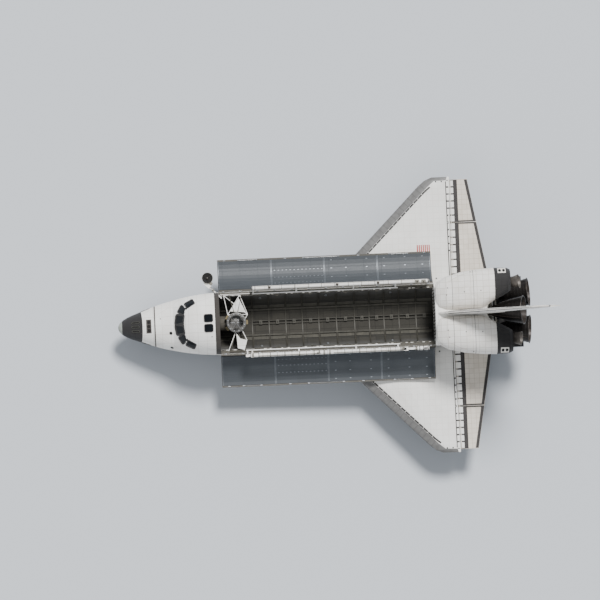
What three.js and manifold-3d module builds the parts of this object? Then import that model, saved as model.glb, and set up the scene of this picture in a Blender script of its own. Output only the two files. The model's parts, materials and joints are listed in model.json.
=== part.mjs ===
// Winged spaceplane with an open payload bay, parked on its wheels.
// Airframe axes, in millimetres: x runs aft from the nose tip, y to starboard and z up from the bay's axis.
// The whole airframe then tips nose down to its parked stance, with the tyres at z = 0.
import * as THREE from "three";
import { mergeVertices } from "three/addons/utils/BufferGeometryUtils.js";
import Module from "manifold-3d";

const wasm = await Module();
wasm.setup();

const INCH = 25.4;
const GAP = 2; // between pieces that touch
const LAP = 1; // overlap of shapes that are joined into one piece
const FAR = 60000; // longer than anything here, for cutting boxes
const rad = THREE.MathUtils.degToRad;

// Stance
const STANCE_ANGLE = 3.5;
const STANCE_SHIFT = [-18285.5, 0, 4509.6];

// Drawing stations, in inches, become airframe millimetres
const station = (inches) => (inches - 238) * INCH;
const level = (inches) => (inches - 400) * INCH;

// Hull
const HULL_POINTS = 48;
const NOSE_CAP_END = station(252);
const THRUSTER_MODULE = { front: station(300), back: station(364), floor: level(352) };
const BAY = { front: station(576), back: station(1307), radius: 2286, half: 2667, sill: 150, hinge: 254 };
const HOOP = { back: station(582), depth: 190 };
const LONGERON = { inner: 2296, outer: 2600, top: 248 };
const LATCH = { x: 25500, y: 2448, half: 90, low: BAY.sill + 20, top: 266 };
const BASE = station(1511);
const HULL_CLEAR = 4; // between the hull and what stands on it
const SECTIONS = [
  // station, half breadth, top, bottom, widest level, upper exponent, lower exponent
  [238.2, 3.4, 336.3, 329.7, 333, 2, 2],
  [239.5, 7.4, 340, 326, 333, 2, 2],
  [241.5, 11.4, 344, 321.9, 333, 2, 2],
  [245, 16.2, 349, 316.8, 333, 2, 2],
  [250, 21.4, 354.4, 311.4, 333, 2, 2],
  [256, 26.3, 359.4, 306.8, 333, 2, 2.1],
  [270, 34.2, 367.5, 300.2, 333.4, 2, 2.2],
  [285, 40.6, 375, 295.2, 334, 2, 2.4],
  [309, 49.4, 385.6, 289.6, 336, 2, 2.8],
  [330, 56.8, 394, 286.2, 339, 2, 3.1],
  [353, 64.4, 403, 283.2, 342, 2, 3.4],
  [390, 76.2, 415, 280, 350, 2, 4],
  [425, 84.6, 426, 278, 360, 2, 4.6],
  [446.5, 89.4, 450, 277, 372, 2, 5],
  [468, 93.6, 472, 276, 385, 2.1, 6],
  [494, 97.6, 483, 275, 391, 2.15, 7.4],
  [520, 100.8, 490.5, 274, 396, 2.2, 9],
  [560, 104.2, 498.4, 272.5, 400, 2.3, 14],
  [582, 105, 500, 272, 400, 2.3, 20],
  [1000, 105, 500, 268, 400, 2.3, 30],
  [1307, 105, 500, 268, 400, 2.3, 30],
  [1440, 105, 500, 271, 400, 2.3, 24],
  [1513, 103.5, 496, 277, 400, 2.3, 16],
];

// Cabin
const CABIN = { front: station(418), back: station(566), wall: 150 };
const PANES = [
  // windscreen: station, side mm, level, turn outboard, tilt, width mm, height mm
  [446.5, 405, 448.5, 8, 45, 710, 880],
  [456.5, 1250, 447.5, 30, 40, 600, 800],
  [482, 1780, 452.5, 62, 42, 720, 620],
];
const PANE_CUT = 900; // depth of the block that cuts each opening
const ROOF_PANE = {
  front: station(531), back: station(557), near: 130, far: 720, floor: level(474),
  top: level(520),
};
const HATCH = {
  x: station(505), z: level(352), radius: 508, skin: 2600, taper: 0.15, joint: 8,
  reach: 900,
};
const NOSE_WELL = { front: station(300), back: station(392), half: 520, roof: level(325) };
const DECK = { top: level(418), thick: 60 };
const SEAT = {
  x: station(487), y: 560, half: 240, deep: 250, low: 380, backFrom: 150, backTo: 300,
  high: 1150,
};
const AFT_CONSOLE = { front: station(546), back: station(562), half: 1500, high: 1000 };
const PANEL = { front: station(458), back: station(468), half: 1150, high: 560 };

// Docking module
const DOCK = {
  x: 10150, radius: 760, floor: -1500, top: 560, ring: 820, ringTop: 700, bore: 650,
  boreDepth: 300,
};
const TUNNEL = { radius: 620, z: -650 };
const TRUSS = { bayClear: 20, radius: 45, foot: 2440, spread: 560, low: -700, high: 420, inner: 300 };
const TRUSS_FOOT = { half: 60, length: 640, thick: 95 };

// Wing
const WING_ROOT = BAY.half + GAP;
const HINGE_X = station(1387);
const HINGE_HALF = { root: 300, tip: 75, tipY: 11896 }; // half the wing's depth at the elevon hinge
const DIHEDRAL = Math.tan(rad(3.5));
const WING_FLOOR = level(268);
const WING_SECTIONS = [
  // span in inches, leading edge station, thickness mm, share of chord at the thickest
  [105.1, 604, 1500, 0.66],
  [112, 646, 1460, 0.64],
  [140, 822, 1400, 0.55],
  [169, 1005, 1300, 0.45],
  [240, 1076, 1120, 0.42],
  [312.5, 1148.5, 900, 0.4],
  [400, 1236, 620, 0.4],
  [440, 1276, 470, 0.4],
  [458, 1298, 330, 0.45],
  [468.34, 1322, 120, 0.5],
];
const AIRFOIL_SHARES = [0, 0.004, 0.015, 0.04, 0.08, 0.14, 0.22, 0.32, 0.44, 0.58, 0.7, 0.82, 0.92, 1];
const AIRFOIL = { nose: 0.55, tail: 1.5, chin: 0.3, chinEnd: 0.14 };
const EDGE = {
  low: -6000, width: 330, glove: 3.2, chord: 2.5, inset: 0.25, tipBack: 400, tipIn: 300,
  outside: 800,
};
const ELEVON = {
  split: 7937, slot: 40, tip: 11640, rootGap: 30, gap: 10, rootSkew: 70, droop: 0.35,
  tailHalf: 20,
};
const TRAILING_EDGE = { root: station(1525.24), slope: 0.1773 };
const NOSE_ARC = Array.from({ length: 9 }, (_, i) => rad(80 + 25 * i)); // round nose of a hinged surface

// Fin and split rudder
const FIN_SWEEP = 34.83;
const RUDDER_FOOT = [station(1475.5), 0, level(538)];
const RUDDER = {
  length: 8478,
  height: level(812) - RUDDER_FOOT[2],
  footChord: 2080,
  tipChord: 813,
  footHalf: 200,
  tipHalf: 96,
  footRise: 14, // degrees that its lower edge rises aft, clear of the upper bell
  gap: 4,
  edge: 22,
  span: [-0.2, 1.12], // shares of its length between which it is drawn, before its ends are cut
};
const RUDDER_SHAFT = {
  share: 0.72, cut: 0.79, socket: 1.27, below: 1700, above: 800, inset: 10,
  socketMore: 300,
};
const FIN_SECTIONS = [
  // level, leading edge station, half thickness mm
  [497, 1311, 205],
  [560, 1366, 192],
  [790, 1590, 104],
  [808, 1609, 92],
  [816, 1634, 40],
];
const FIN_PROFILE = [[0.004, 0.28], [0.04, 0.5], [0.3, 0.8], [0.62, 1], [1, 1]];
const FIN_SLOT = 20;
const CHUTE_HOUSING = [
  // station, half breadth mm, low level, high level
  [1420, 120, 498, 520],
  [1462, 190, 498, 529],
  [1500, 190, 500, 532],
  [1536, 150, 522, 541],
];

// Pods, body flap and the shelf over the flap
const POD_POINTS = 32;
const POD_SECTIONS = [
  // station, inner side, outer side, top level, bottom level, all in inches
  [1309.5, 27, 98, 503, 468],
  [1320, 15, 108, 513, 455],
  [1345, 10, 122, 527, 444],
  [1400, 9, 136, 541, 434],
  [1460, 12, 143, 549, 430],
  [1511, 38, 145, 551, 430],
  [1550, 58.5, 143, 549, 433],
  [1560, 66, 138, 543, 440],
];
const POD_SOCKET = { radius: 330, end: 3000, endRadius: 900 };
const FLAP = {
  x: station(1532), z: level(287), half: 3050, radius: 190, tail: station(1613),
  tailDrop: 40, tailHalf: 25,
};
const SHELF = {
  front: station(1508.5), half: 3050, top: level(310), bottom: level(278),
  back: FLAP.x - 240,
};

// Engines
const ENGINES = [
  // name, station, side in inches, level, pitch up, yaw to starboard
  ["upper", 1445, 0, 443, 16, 0],
  ["starboard", 1468, 53, 342.6, 10, 3.5],
  ["port", 1468, -53, 342.6, 10, -3.5],
];
const BELL = {
  head: 116, headRadius: 430, shoulder: 900, start: 1150, length: 4200, exit: 1195,
  throat: 270, wall: 45,
};
const BELL_SIDES = 30;
const BELL_STEPS = [0, 0.12, 0.32, 0.6, 1];
const BELL_FLARE = 1.55;
const BELL_FLOOR = 60; // thickness of the bell behind its hollow
const GIMBAL = { pitch: 11, yaw: 8.5 };
const BELL_ROOM = { from: 700, to: 4300, start: 450, end: 1270 };
const RECESS = { start: -500, mountLap: 50, startRadius: 760, end: 3200, endRadius: 1560 };
const SWIVEL = { radius: 110, mount: 190, spread: 1.6, clear: 6 };
const SMALL_BELL = {
  head: 402, headRadius: 210, shoulder: 560, start: 660, length: 1900, exit: 585,
  throat: 140, wall: 22,
};
const SMALL_ENGINE = ["", 1518, 88, 492, 15.8, 6.5];

// Payload doors and radiators
const DOOR = { front: HOOP.back + 7, back: BAY.back - 7, thick: 100, open: 175.5, edge: 6 };
const RADIATOR = { gap: 25, thick: 25, first: 8790, length: 4575, low: 520, edge: 150, slot: 12 };

// Arms along the sills
const ARM = {
  y: 2875, z: 988, radius: 165, joint: 175, fore: 160, rollY: 2413, rollZ: 310,
  pinRadius: 50, clear: 10,
};
const ARM_STATIONS = { shoulder: 11414, elbow: 17814, wrist: 24674, yaw: 25131, roll: 25600, tip: 26530 };
const SHOULDER = {
  low: 300, high: 173, radius: 120, lug: 173, lugThick: 40, lugTop: 60, half: 70, pin: 155,
};
const SHOULDER_POST = { foot: 54, head: 100, rise: 20 };
const SHOULDER_BOX = { from: 560, to: 60, half: 80, lower: 8 };
const ELBOW = { drop: 250, gap: 10, joint: 620, tube: 180, pin: 60, lug: 420, lugGap: 6, lugLow: 40 };
const ELBOW_SIDES = { upper: [-130, -50], fore: [-40, 140] };
const WRIST = {
  tube: 320, collar: 480, collarRadius: 165, fork: [360, 60], side: 135, half: 28,
  high: 90,
};
const WRIST_BODY = {
  pin: 90, half: 100, block: 80, blockEnd: 170, fork: [260, 60], plate: [260, 172],
  plateHalf: [70, 150],
};
const PALM = { neck: 92, neckEnd: 340, body: 140, bodyFrom: 330, gap: 3, handRadius: 170 };
const PEDESTAL = {
  pad: 120, padLow: 50, padHigh: 100, foot: 75, head: 60, rodAhead: 100, rodBehind: 200,
};
const SENSOR_BOOM = { from: 11560, to: 26760, radius: 150 };
const PEDESTALS = [11000, 15400, 20300, 23900];
const BOOM_FIRST_SHIFT = 700; // the boom's first pedestal stands clear of the antenna
const ANTENNA = {
  foot: 8, x: 8960, y: 2160, z: 470, reach: 2022, aside: 438, turn: 135, post: 60,
  boomHalf: 55,
};
const DISH = {
  rise: 190, feed: 480, feedBase: 28, feedTip: 18, lap: 10,
  profile: [[0, 0], [228, 35], [455, 130], [455, 148], [228, 60], [0, 30]],
};
const ANTENNA_BOX = { from: 700, to: 120, near: -170, far: 150, low: 90, high: 200 };
const ANTENNA_BRACKET = { from: 150, to: 60, beyond: 40, half: 50 };
const ANTENNA_NOTCH = { front: BAY.front - 215, side: 2100, top: 560 };

// Landing gear, down
const NOSE_WHEEL = { x: 3607, y: 0, radius: 406, width: 224, track: 440, contact: -4739 };
const MAIN_WHEEL = { x: 23724, y: 3455, radius: 565, width: 406, track: 800, contact: -5969 };
// A tyre's section: share of the radius, share of the half width
const TYRE_PROFILE = [[0, -0.5], [0.5, -0.4], [0.55, -0.85], [0.8, -1], [0.93, -0.86], [1, -0.5]];
const TYRE_SIDES = 28;
const HUB = { axle: 62, bore: 70, eye: 115, gap: 12 };
const MAIN_WELL = {
  front: MAIN_WHEEL.x - 3300, back: MAIN_WHEEL.x + 900, near: 2820, far: 4250, roof: -2550,
};
const NOSE_LEG = { top: NOSE_WELL.roof - GAP, sleeve: -3640, radius: 115, piston: 78, pistonGap: 6 };
const NOSE_BRACE = {
  x: station(318), foot: -3350, near: 60, far: 380, radius: 50, drop: 60, bar: 55,
  barHalf: 420,
};
const NOSE_DOOR = { front: 120, back: 40, near: 30, far: 80, low: -4150, high: -3080 };
const MAIN_LEG = { top: MAIN_WELL.roof - GAP, sleeve: -4600, radius: 165, piston: 115 };
const DRAG_BRACE = { foot: -4350, back: 2300, radius: 70, bar: 65, barHalf: 420 };
const SIDE_BRACE = { foot: -4100, out: 620, radius: 60 };
const BRACE_DROP = 70; // of the braces' heads below the well's roof
const MAIN_DOOR = { inset: 60, near: 12, far: 62, low: -4660, gap: 6 };

const FINISH = {
  // colour, roughness, metalness
  whiteTile: [0xe8e4dd, 0.8, 0],
  wingTile: [0xe0ddd8, 0.8, 0],
  beigeTile: [0xd8cfc2, 0.85, 0],
  blackTile: [0x2b2929, 0.8, 0],
  carbon: [0x8a8986, 0.6, 0.1],
  radiator: [0x5f6f82, 0.25, 0.7],
  bell: [0x3a3836, 0.5, 0.8],
  structure: [0xb8b2a2, 0.6, 0.3],
  armBlanket: [0xeeece6, 0.75, 0],
  steel: [0xa7a9ab, 0.35, 0.9],
  rubber: [0x1c1c1c, 0.9, 0],
  cabin: [0x8f969b, 0.7, 0],
};

const airframe = new THREE.Group();
airframe.rotation.y = -rad(STANCE_ANGLE);
airframe.position.set(...STANCE_SHIFT);

// Solids

function solid(geometry) {
  const loose = geometry.index ? geometry.toNonIndexed() : geometry;
  const bare = new THREE.BufferGeometry().setAttribute("position", loose.getAttribute("position"));
  const merged = mergeVertices(bare, 1e-3);
  const at = merged.attributes.position;
  const [a, b, c] = [new THREE.Vector3(), new THREE.Vector3(), new THREE.Vector3()];
  const corners = [];
  let volume = 0;
  for (let i = 0; i < merged.index.count; i += 3) {
    const [p, q, r] = merged.index.array.slice(i, i + 3);
    if (p === q || q === r || r === p) continue;
    corners.push(p, q, r);
    c.fromBufferAttribute(at, r);
    volume += a.fromBufferAttribute(at, p).dot(b.fromBufferAttribute(at, q).cross(c));
  }
  const triVerts = new Uint32Array(volume < 0 ? corners.reverse() : corners);
  return new wasm.Manifold(new wasm.Mesh({ numProp: 3, vertProperties: at.array, triVerts }));
}

const join = (...solids) => solids.reduce((all, next) => all.add(next));

function box([x0, x1], [y0, y1], [z0, z1]) {
  const shape = new THREE.BoxGeometry(x1 - x0, y1 - y0, z1 - z0);
  return solid(shape.translate((x0 + x1) / 2, (y0 + y1) / 2, (z0 + z1) / 2));
}

// A round bar from one point to another, tapering from one radius to the other
function bar(from, to, radius, endRadius = radius, sides = 10) {
  const [start, end] = [new THREE.Vector3(...from), new THREE.Vector3(...to)];
  const along = end.clone().sub(start);
  const shape = new THREE.CylinderGeometry(endRadius, radius, along.length(), sides);
  const turn = new THREE.Quaternion().setFromUnitVectors(new THREE.Vector3(0, 1, 0), along.normalize());
  const middle = start.add(end).multiplyScalar(0.5);
  return solid(shape.applyQuaternion(turn).translate(middle.x, middle.y, middle.z));
}

// A skin over rings of equally many points, closed by a fan at each end
function loft(rings) {
  const count = rings[0].length;
  const points = rings.flat();
  for (const ring of [rings[0], rings.at(-1)]) {
    points.push([0, 1, 2].map((axis) => ring.reduce((sum, point) => sum + point[axis], 0) / count));
  }
  const faces = [];
  rings.slice(1).forEach((_, row) => {
    for (let i = 0; i < count; i++) {
      const [a, b] = [row * count + i, row * count + ((i + 1) % count)];
      faces.push(a, b, b + count, a, b + count, a + count);
    }
  });
  const last = (rings.length - 1) * count;
  for (let i = 0; i < count; i++) {
    const next = (i + 1) % count;
    faces.push(next, i, points.length - 2, last + i, last + next, points.length - 1);
  }
  const shape = new THREE.BufferGeometry().setFromPoints(points.map((point) => new THREE.Vector3(...point)));
  return solid(shape.setIndex(faces));
}

// An outline in two of the axes, pushed along the third
function plate(outline, plane, from, to) {
  const face = new THREE.Shape(outline.map((point) => new THREE.Vector2(...point)));
  const shape = new THREE.ExtrudeGeometry(face, { depth: to - from, bevelEnabled: false });
  const at = shape.attributes.position;
  for (let i = 0; i < at.count; i++) {
    const [p, q, depth] = [at.getX(i), at.getY(i), at.getZ(i) + from];
    at.setXYZ(i, ...{ xy: [p, q, depth], xz: [p, depth, q], yz: [depth, p, q] }[plane]);
  }
  return solid(shape);
}

function mesh(name, shape, finish, parent = airframe, side = 1) {
  const made = shape.getMesh();
  const geometry = new THREE.BufferGeometry();
  geometry.setAttribute("position", new THREE.BufferAttribute(made.vertProperties, 3));
  geometry.setIndex(new THREE.BufferAttribute(made.triVerts, 1));
  geometry.computeVertexNormals();
  const [color, roughness, metalness] = FINISH[finish];
  const piece = new THREE.Mesh(geometry, new THREE.MeshStandardMaterial({ color, roughness, metalness }));
  piece.name = name;
  piece.scale.y = side;
  parent.add(piece);
  return piece;
}

const SIDES = [["starboard", 1], ["port", -1]];

function pair(name, shape, finish, parent = airframe) {
  for (const [word, side] of SIDES) mesh(`${name}_${word}`, shape, finish, parent, side);
}

// Hull sections

function sectionAt(inches) {
  const after = Math.max(1, SECTIONS.findIndex(([at]) => at >= inches));
  const [from, to] = [SECTIONS[after - 1], SECTIONS[after]];
  const share = (inches - from[0]) / (to[0] - from[0]);
  return from.map((value, column) => value + share * (to[column] - value));
}

function hullRing([at, half, top, bottom, middle, upper, lower], inset = 0) {
  return Array.from({ length: HULL_POINTS }, (_, i) => {
    const angle = (2 * Math.PI * i) / HULL_POINTS;
    const [across, up] = [Math.cos(angle), Math.sin(angle)];
    const power = 2 / (up >= 0 ? upper : lower);
    const reach = (up >= 0 ? top - middle : middle - bottom) * INCH - inset;
    const y = Math.sign(across) * Math.abs(across) ** power * (half * INCH - inset);
    return [station(at), y, level(middle) + Math.sign(up) * Math.abs(up) ** power * reach];
  });
}

function hull(front, back, inset = 0) {
  const [first, last] = [front, back].map((x) => x / INCH + 238);
  const inside = SECTIONS.filter(([at]) => at > first + 0.5 && at < last - 0.5);
  return loft([sectionAt(first), ...inside, sectionAt(last)].map((section) => hullRing(section, inset)));
}

// The hull over its aft part, a little larger, to cut from what stands on it
const aftRoom = () => hull(BAY.back - 800, BASE + HULL_CLEAR, -HULL_CLEAR);

// Nose, cabin and bay

// Six windscreen openings and two roof openings, each a block through the shell, square to its pane
function paneCuts() {
  const cuts = SIDES.map(([, side]) => {
    const across = [side * ROOF_PANE.near, side * ROOF_PANE.far].sort((a, b) => a - b);
    return box([ROOF_PANE.front, ROOF_PANE.back], across, [ROOF_PANE.floor, ROOF_PANE.top]);
  });
  for (const [at, y, height, turn, tilt, wide, tall] of PANES) {
    for (const [, side] of SIDES) {
      const block = new THREE.BoxGeometry(PANE_CUT, wide, tall);
      const facing = new THREE.Euler(0, rad(tilt), -rad(side * turn), "ZYX");
      block.applyMatrix4(new THREE.Matrix4().makeRotationFromEuler(facing));
      cuts.push(solid(block.translate(station(at), side * y, level(height))));
    }
  }
  return join(...cuts);
}

// A plug that narrows inward, so that it swings out of its frame
function hatchPlug(grow) {
  const { x, z, radius, skin, taper, reach } = HATCH;
  const [outer, inner] = [1, -1].map((end) => radius + grow + end * taper * reach);
  return bar([x, -skin - reach, z], [x, -skin + reach, z], outer, inner, 24);
}

// The frame round the front of the bay, above the sills
function frontHoop() {
  const overBay = box([BAY.front - LAP, FAR], [-FAR, FAR], [LONGERON.top + GAP, FAR]);
  const inside = hull(BAY.front - LAP, HOOP.back + LAP, HOOP.depth);
  return hull(BAY.front - LAP, HOOP.back).intersect(overBay).subtract(inside.intersect(overBay));
}

function buildNose() {
  const module = THRUSTER_MODULE;
  mesh("nose_cap", hull(station(SECTIONS[0][0]), NOSE_CAP_END - GAP), "carbon");
  const moduleBox = (grow) =>
    box([module.front - grow, module.back + grow], [-FAR, FAR], [module.floor - grow, FAR]);
  mesh("forward_thruster_module", hull(NOSE_CAP_END, BAY.front).intersect(moduleBox(0)), "whiteTile");

  const notch = box([ANTENNA_NOTCH.front, FAR], [ANTENNA_NOTCH.side, FAR], [BAY.sill, ANTENNA_NOTCH.top]);
  const postRoom = box([0, FAR], [LONGERON.inner, FAR], [LONGERON.top, FAR]);
  const { front, back, half, roof } = NOSE_WELL;
  const well = box([front, back], [-half, half], [-FAR, roof]);
  const shell = join(hull(NOSE_CAP_END, BAY.front), frontHoop().subtract(notch))
    .subtract(moduleBox(GAP))
    .subtract(hull(CABIN.front, CABIN.back, CABIN.wall))
    .subtract(paneCuts())
    .subtract(notch.intersect(postRoom))
    .subtract(well);
  mesh("forward_fuselage", shell.subtract(hatchPlug(HATCH.joint)), "whiteTile");
  mesh("side_hatch", shell.intersect(hatchPlug(0)), "whiteTile");
}

function buildCabin() {
  const { top, thick } = DECK;
  const room = hull(CABIN.front + GAP, CABIN.back - GAP, CABIN.wall + GAP);
  const floor = room.intersect(box([0, FAR], [-FAR, FAR], [top - thick, top]));
  const seats = SIDES.map(([, side]) => {
    const y = [side * SEAT.y - SEAT.half, side * SEAT.y + SEAT.half];
    const cushion = box([SEAT.x - SEAT.deep, SEAT.x + SEAT.deep], y, [top - LAP, top + SEAT.low]);
    return cushion.add(box([SEAT.x + SEAT.backFrom, SEAT.x + SEAT.backTo], y, [top - LAP, top + SEAT.high]));
  });
  const furniture = ({ front, back, half, high }, foot) =>
    box([front, back], [-half, half], [top + foot, top + high]).intersect(room);
  mesh("flight_deck", join(floor, ...seats, furniture(AFT_CONSOLE, -LAP)), "cabin");
  mesh("instrument_panel", furniture(PANEL, GAP), "blackTile");
}

function buildBay() {
  const { front, back, radius, sill } = BAY;
  const trough = join(
    bar([front, 0, 0], [back, 0, 0], radius, radius, 48),
    box([front, back], [-radius, radius], [0, FAR]),
  );
  const body = hull(front + GAP, back - GAP).intersect(box([0, FAR], [-FAR, FAR], [-FAR, sill]));
  mesh("mid_fuselage", body.subtract(trough), "whiteTile");
  const rail = box([front + GAP, back - GAP], [LONGERON.inner, LONGERON.outer], [sill + GAP, LONGERON.top]);
  const { x, y, half, low, top } = LATCH;
  pair("sill_longeron", rail.add(box([x - half, x + half], [y - half, y + half], [low, top])), "structure");
  buildDock();
}

function buildDock() {
  const { x, radius, floor, top, ring, ringTop, bore, boreDepth } = DOCK;
  const upright = (from, to, r) => bar([x, 0, from], [x, 0, to], r, r, 28);
  const tunnel = bar([BAY.front + GAP, 0, TUNNEL.z], [x, 0, TUNNEL.z], TUNNEL.radius, TUNNEL.radius, 20);
  const footLevel = LONGERON.top + GAP;
  const strut = (foot, side, z) => bar(foot, [x, side * TRUSS.inner, z], TRUSS.radius, TRUSS.radius, 8);
  const struts = SIDES.flatMap(([, side]) =>
    [-1, 1].flatMap((end) => {
      const foot = [x + end * TRUSS.spread, side * TRUSS.foot, footLevel + TRUSS.radius];
      return [TRUSS.low, TRUSS.high].map((z) => strut(foot, side, z));
    }),
  );
  const feet = SIDES.map(([, side]) => {
    const y = [side * TRUSS.foot - TRUSS_FOOT.half, side * TRUSS.foot + TRUSS_FOOT.half];
    return box([x - TRUSS_FOOT.length, x + TRUSS_FOOT.length], y, [footLevel, footLevel + TRUSS_FOOT.thick]);
  });
  const inBay = BAY.radius - TRUSS.bayClear;
  const clearOfSills = join(
    box([0, FAR], [-FAR, FAR], [footLevel, FAR]),
    box([0, FAR], [-inBay, inBay], [-FAR, FAR]),
  );
  const shape = join(upright(floor, top, radius), upright(top - LAP, ringTop, ring), tunnel, ...struts, ...feet)
    .intersect(clearOfSills)
    .subtract(upright(top - boreDepth, FAR, bore));
  mesh("docking_module", shape, "armBlanket");
}

// Wings and elevons

const hingeHalf = (y) =>
  THREE.MathUtils.mapLinear(y, WING_ROOT, HINGE_HALF.tipY, HINGE_HALF.root, HINGE_HALF.tip);
const wingFloor = (y) => WING_FLOOR + (y - WING_ROOT) * DIHEDRAL;
const hingeLevel = (y) => wingFloor(y) + hingeHalf(y);
const trailingEdge = (y) => TRAILING_EDGE.root - TRAILING_EDGE.slope * y;

function wingRing([span, lead, thick, fullest]) {
  const y = span * INCH;
  const [from, to] = [station(lead), HINGE_X - hingeHalf(y) - ELEVON.slot];
  const endShare = (2 * hingeHalf(y)) / thick;
  const depth = (u) =>
    u < fullest
      ? thick * Math.sin((Math.PI / 2) * (u / fullest) ** AIRFOIL.nose)
      : thick * (1 - (1 - endShare) * ((u - fullest) / (1 - fullest)) ** AIRFOIL.tail);
  const chin = (u) => wingFloor(y) + AIRFOIL.chin * thick * Math.max(0, 1 - u / AIRFOIL.chinEnd) ** 2;
  const point = (u, up) => [from + u * (to - from), y, chin(u) + (up ? depth(u) : 0)];
  const above = AIRFOIL_SHARES.map((u) => point(u, true));
  const below = AIRFOIL_SHARES.slice(1).reverse().map((u) => point(u, false));
  return [...above, ...below];
}

// Plan outline of the leading edge panels, from the glove's kink to the rounded tip
function edgeOutline() {
  const lead = WING_SECTIONS.slice(2).map(([span, at]) => [station(at), span * INCH]);
  const tip = lead.at(-1);
  const back = lead.map(([x, y], i) => {
    if (i === lead.length - 1) return [HINGE_X - EDGE.tipBack, y - EDGE.tipIn];
    return [x + EDGE.width * (i === 0 ? EDGE.glove : EDGE.chord), y - EDGE.width * EDGE.inset];
  });
  const ahead = [
    [lead[0][0] - EDGE.outside, lead[0][1]],
    [tip[0] - EDGE.outside, tip[1] + EDGE.outside],
    [HINGE_X, tip[1] + EDGE.outside],
  ];
  return [...ahead, ...back.reverse()];
}

// The inner elevon's root is skewed outboard aft, so that it stays off the hull as it lifts
function elevonRing(y) {
  const [half, height] = [hingeHalf(y), hingeLevel(y)];
  const skew = y < WING_ROOT + 2 * ELEVON.rootGap ? ELEVON.rootSkew : 0;
  const nose = NOSE_ARC.map((a) => [HINGE_X + half * Math.cos(a), y, height + half * Math.sin(a)]);
  const middle = height - half * ELEVON.droop;
  return [...nose, ...[-1, 1].map((up) => [trailingEdge(y), y + skew, middle + up * ELEVON.tailHalf])];
}

function buildWings() {
  const full = loft(WING_SECTIONS.map(wingRing));
  const { front, back, near, far, roof } = MAIN_WELL;
  const edge = full.intersect(plate(edgeOutline(), "xy", EDGE.low, 0));
  const inner = edgeOutline().map(([x, y]) => [x + GAP * 1.5, y - GAP]);
  const body = full
    .subtract(plate(inner, "xy", EDGE.low, 0))
    .subtract(box([front, back], [near, far], [-FAR, roof]));
  pair("wing", body, "wingTile");
  pair("wing_leading_edge", edge, "carbon");

  const { split, gap, rootGap, tip } = ELEVON;
  const spans = { inner: [WING_ROOT + rootGap, split - gap], outer: [split + gap, tip] };
  for (const [where, ends] of Object.entries(spans)) {
    pair(`elevon_${where}`, loft(ends.map(elevonRing)), "beigeTile");
  }
}

// Aft hull, pods, fin and flap

function podRing([at, near, far, top, bottom]) {
  return Array.from({ length: POD_POINTS }, (_, i) => {
    const angle = (2 * Math.PI * i) / POD_POINTS;
    const bend = (value) => Math.sign(value) * Math.abs(value) ** (2 / 2.5);
    const y = ((near + far) / 2) * INCH + bend(Math.cos(angle)) * ((far - near) / 2) * INCH;
    const z = level((top + bottom) / 2) + bend(Math.sin(angle)) * ((top - bottom) / 2) * INCH;
    return [station(at), y, z];
  });
}

// A frame at an engine's swivel, with x running down its bell
function engineFrame([, at, side, height, pitch, yaw]) {
  const frame = new THREE.Group();
  frame.position.set(station(at), side * INCH, level(height));
  frame.rotation.set(0, -rad(pitch), rad(yaw), "ZYX");
  frame.updateMatrix();
  return frame;
}

function along(frame, x) {
  return new THREE.Vector3(x, 0, 0).applyMatrix4(frame.matrix).toArray();
}

function buildAft() {
  const { start, mountLap, startRadius, end, endRadius } = RECESS;
  const frames = ENGINES.map(engineFrame);
  const recesses = frames.map((frame) =>
    bar(along(frame, start), along(frame, end), startRadius, endRadius, 32));
  const shelf = box([SHELF.front, SHELF.back], [-SHELF.half, SHELF.half], [SHELF.bottom, SHELF.top]);
  const mounts = frames.map((frame) => {
    const tip = along(frame, -SWIVEL.radius - SWIVEL.clear);
    return bar(along(frame, start - mountLap), tip, SWIVEL.mount * SWIVEL.spread, SWIVEL.mount, 20);
  });
  const body = join(hull(BAY.back, BASE), shelf).subtract(join(...recesses));
  mesh("aft_fuselage", join(body, ...mounts), "whiteTile");

  const small = engineFrame(SMALL_ENGINE);
  const { radius, end: socketEnd, endRadius: mouth } = POD_SOCKET;
  const socket = bar(along(small, SMALL_BELL.head - GAP), along(small, socketEnd), radius, mouth, 28);
  pair("rear_pod", loft(POD_SECTIONS.map(podRing)).subtract(aftRoom()).subtract(socket), "whiteTile");

  const nose = NOSE_ARC.map((a) => [FLAP.x + FLAP.radius * Math.cos(a), FLAP.z + FLAP.radius * Math.sin(a)]);
  const tail = [-1, 1].map((up) => [FLAP.tail, FLAP.z - FLAP.tailDrop + up * FLAP.tailHalf]);
  mesh("body_flap", plate([...nose, ...tail], "xz", -FLAP.half, FLAP.half), "blackTile");
}

const finHinge = (height) => RUDDER_FOOT[0] + (height - RUDDER_FOOT[2]) * Math.tan(rad(FIN_SWEEP));

function finRing([height, lead, half]) {
  const z = level(height);
  const [from, to] = [station(lead), finHinge(z) - FIN_SLOT];
  const starboard = FIN_PROFILE.map(([u, share]) => [from + u * (to - from), share * half, z]);
  const port = [...starboard].reverse().map(([x, y]) => [x, -y, z]);
  return [[from, 0, z], ...starboard, ...port];
}

function rudderFrame() {
  const frame = new THREE.Group();
  frame.position.set(...RUDDER_FOOT);
  frame.rotation.y = rad(FIN_SWEEP);
  frame.updateMatrix();
  return frame;
}

// A rudder panel's half section at a share of the way up: flat inside, tapering to its edge
function rudderRing(share) {
  const half = THREE.MathUtils.lerp(RUDDER.footHalf, RUDDER.tipHalf, share);
  const chord = THREE.MathUtils.lerp(RUDDER.footChord, RUDDER.tipChord, share);
  const z = share * RUDDER.length;
  return [[RUDDER.gap, RUDDER.gap, z], [chord, RUDDER.gap, z], [chord, RUDDER.edge, z], [RUDDER.gap, half, z]];
}

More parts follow.
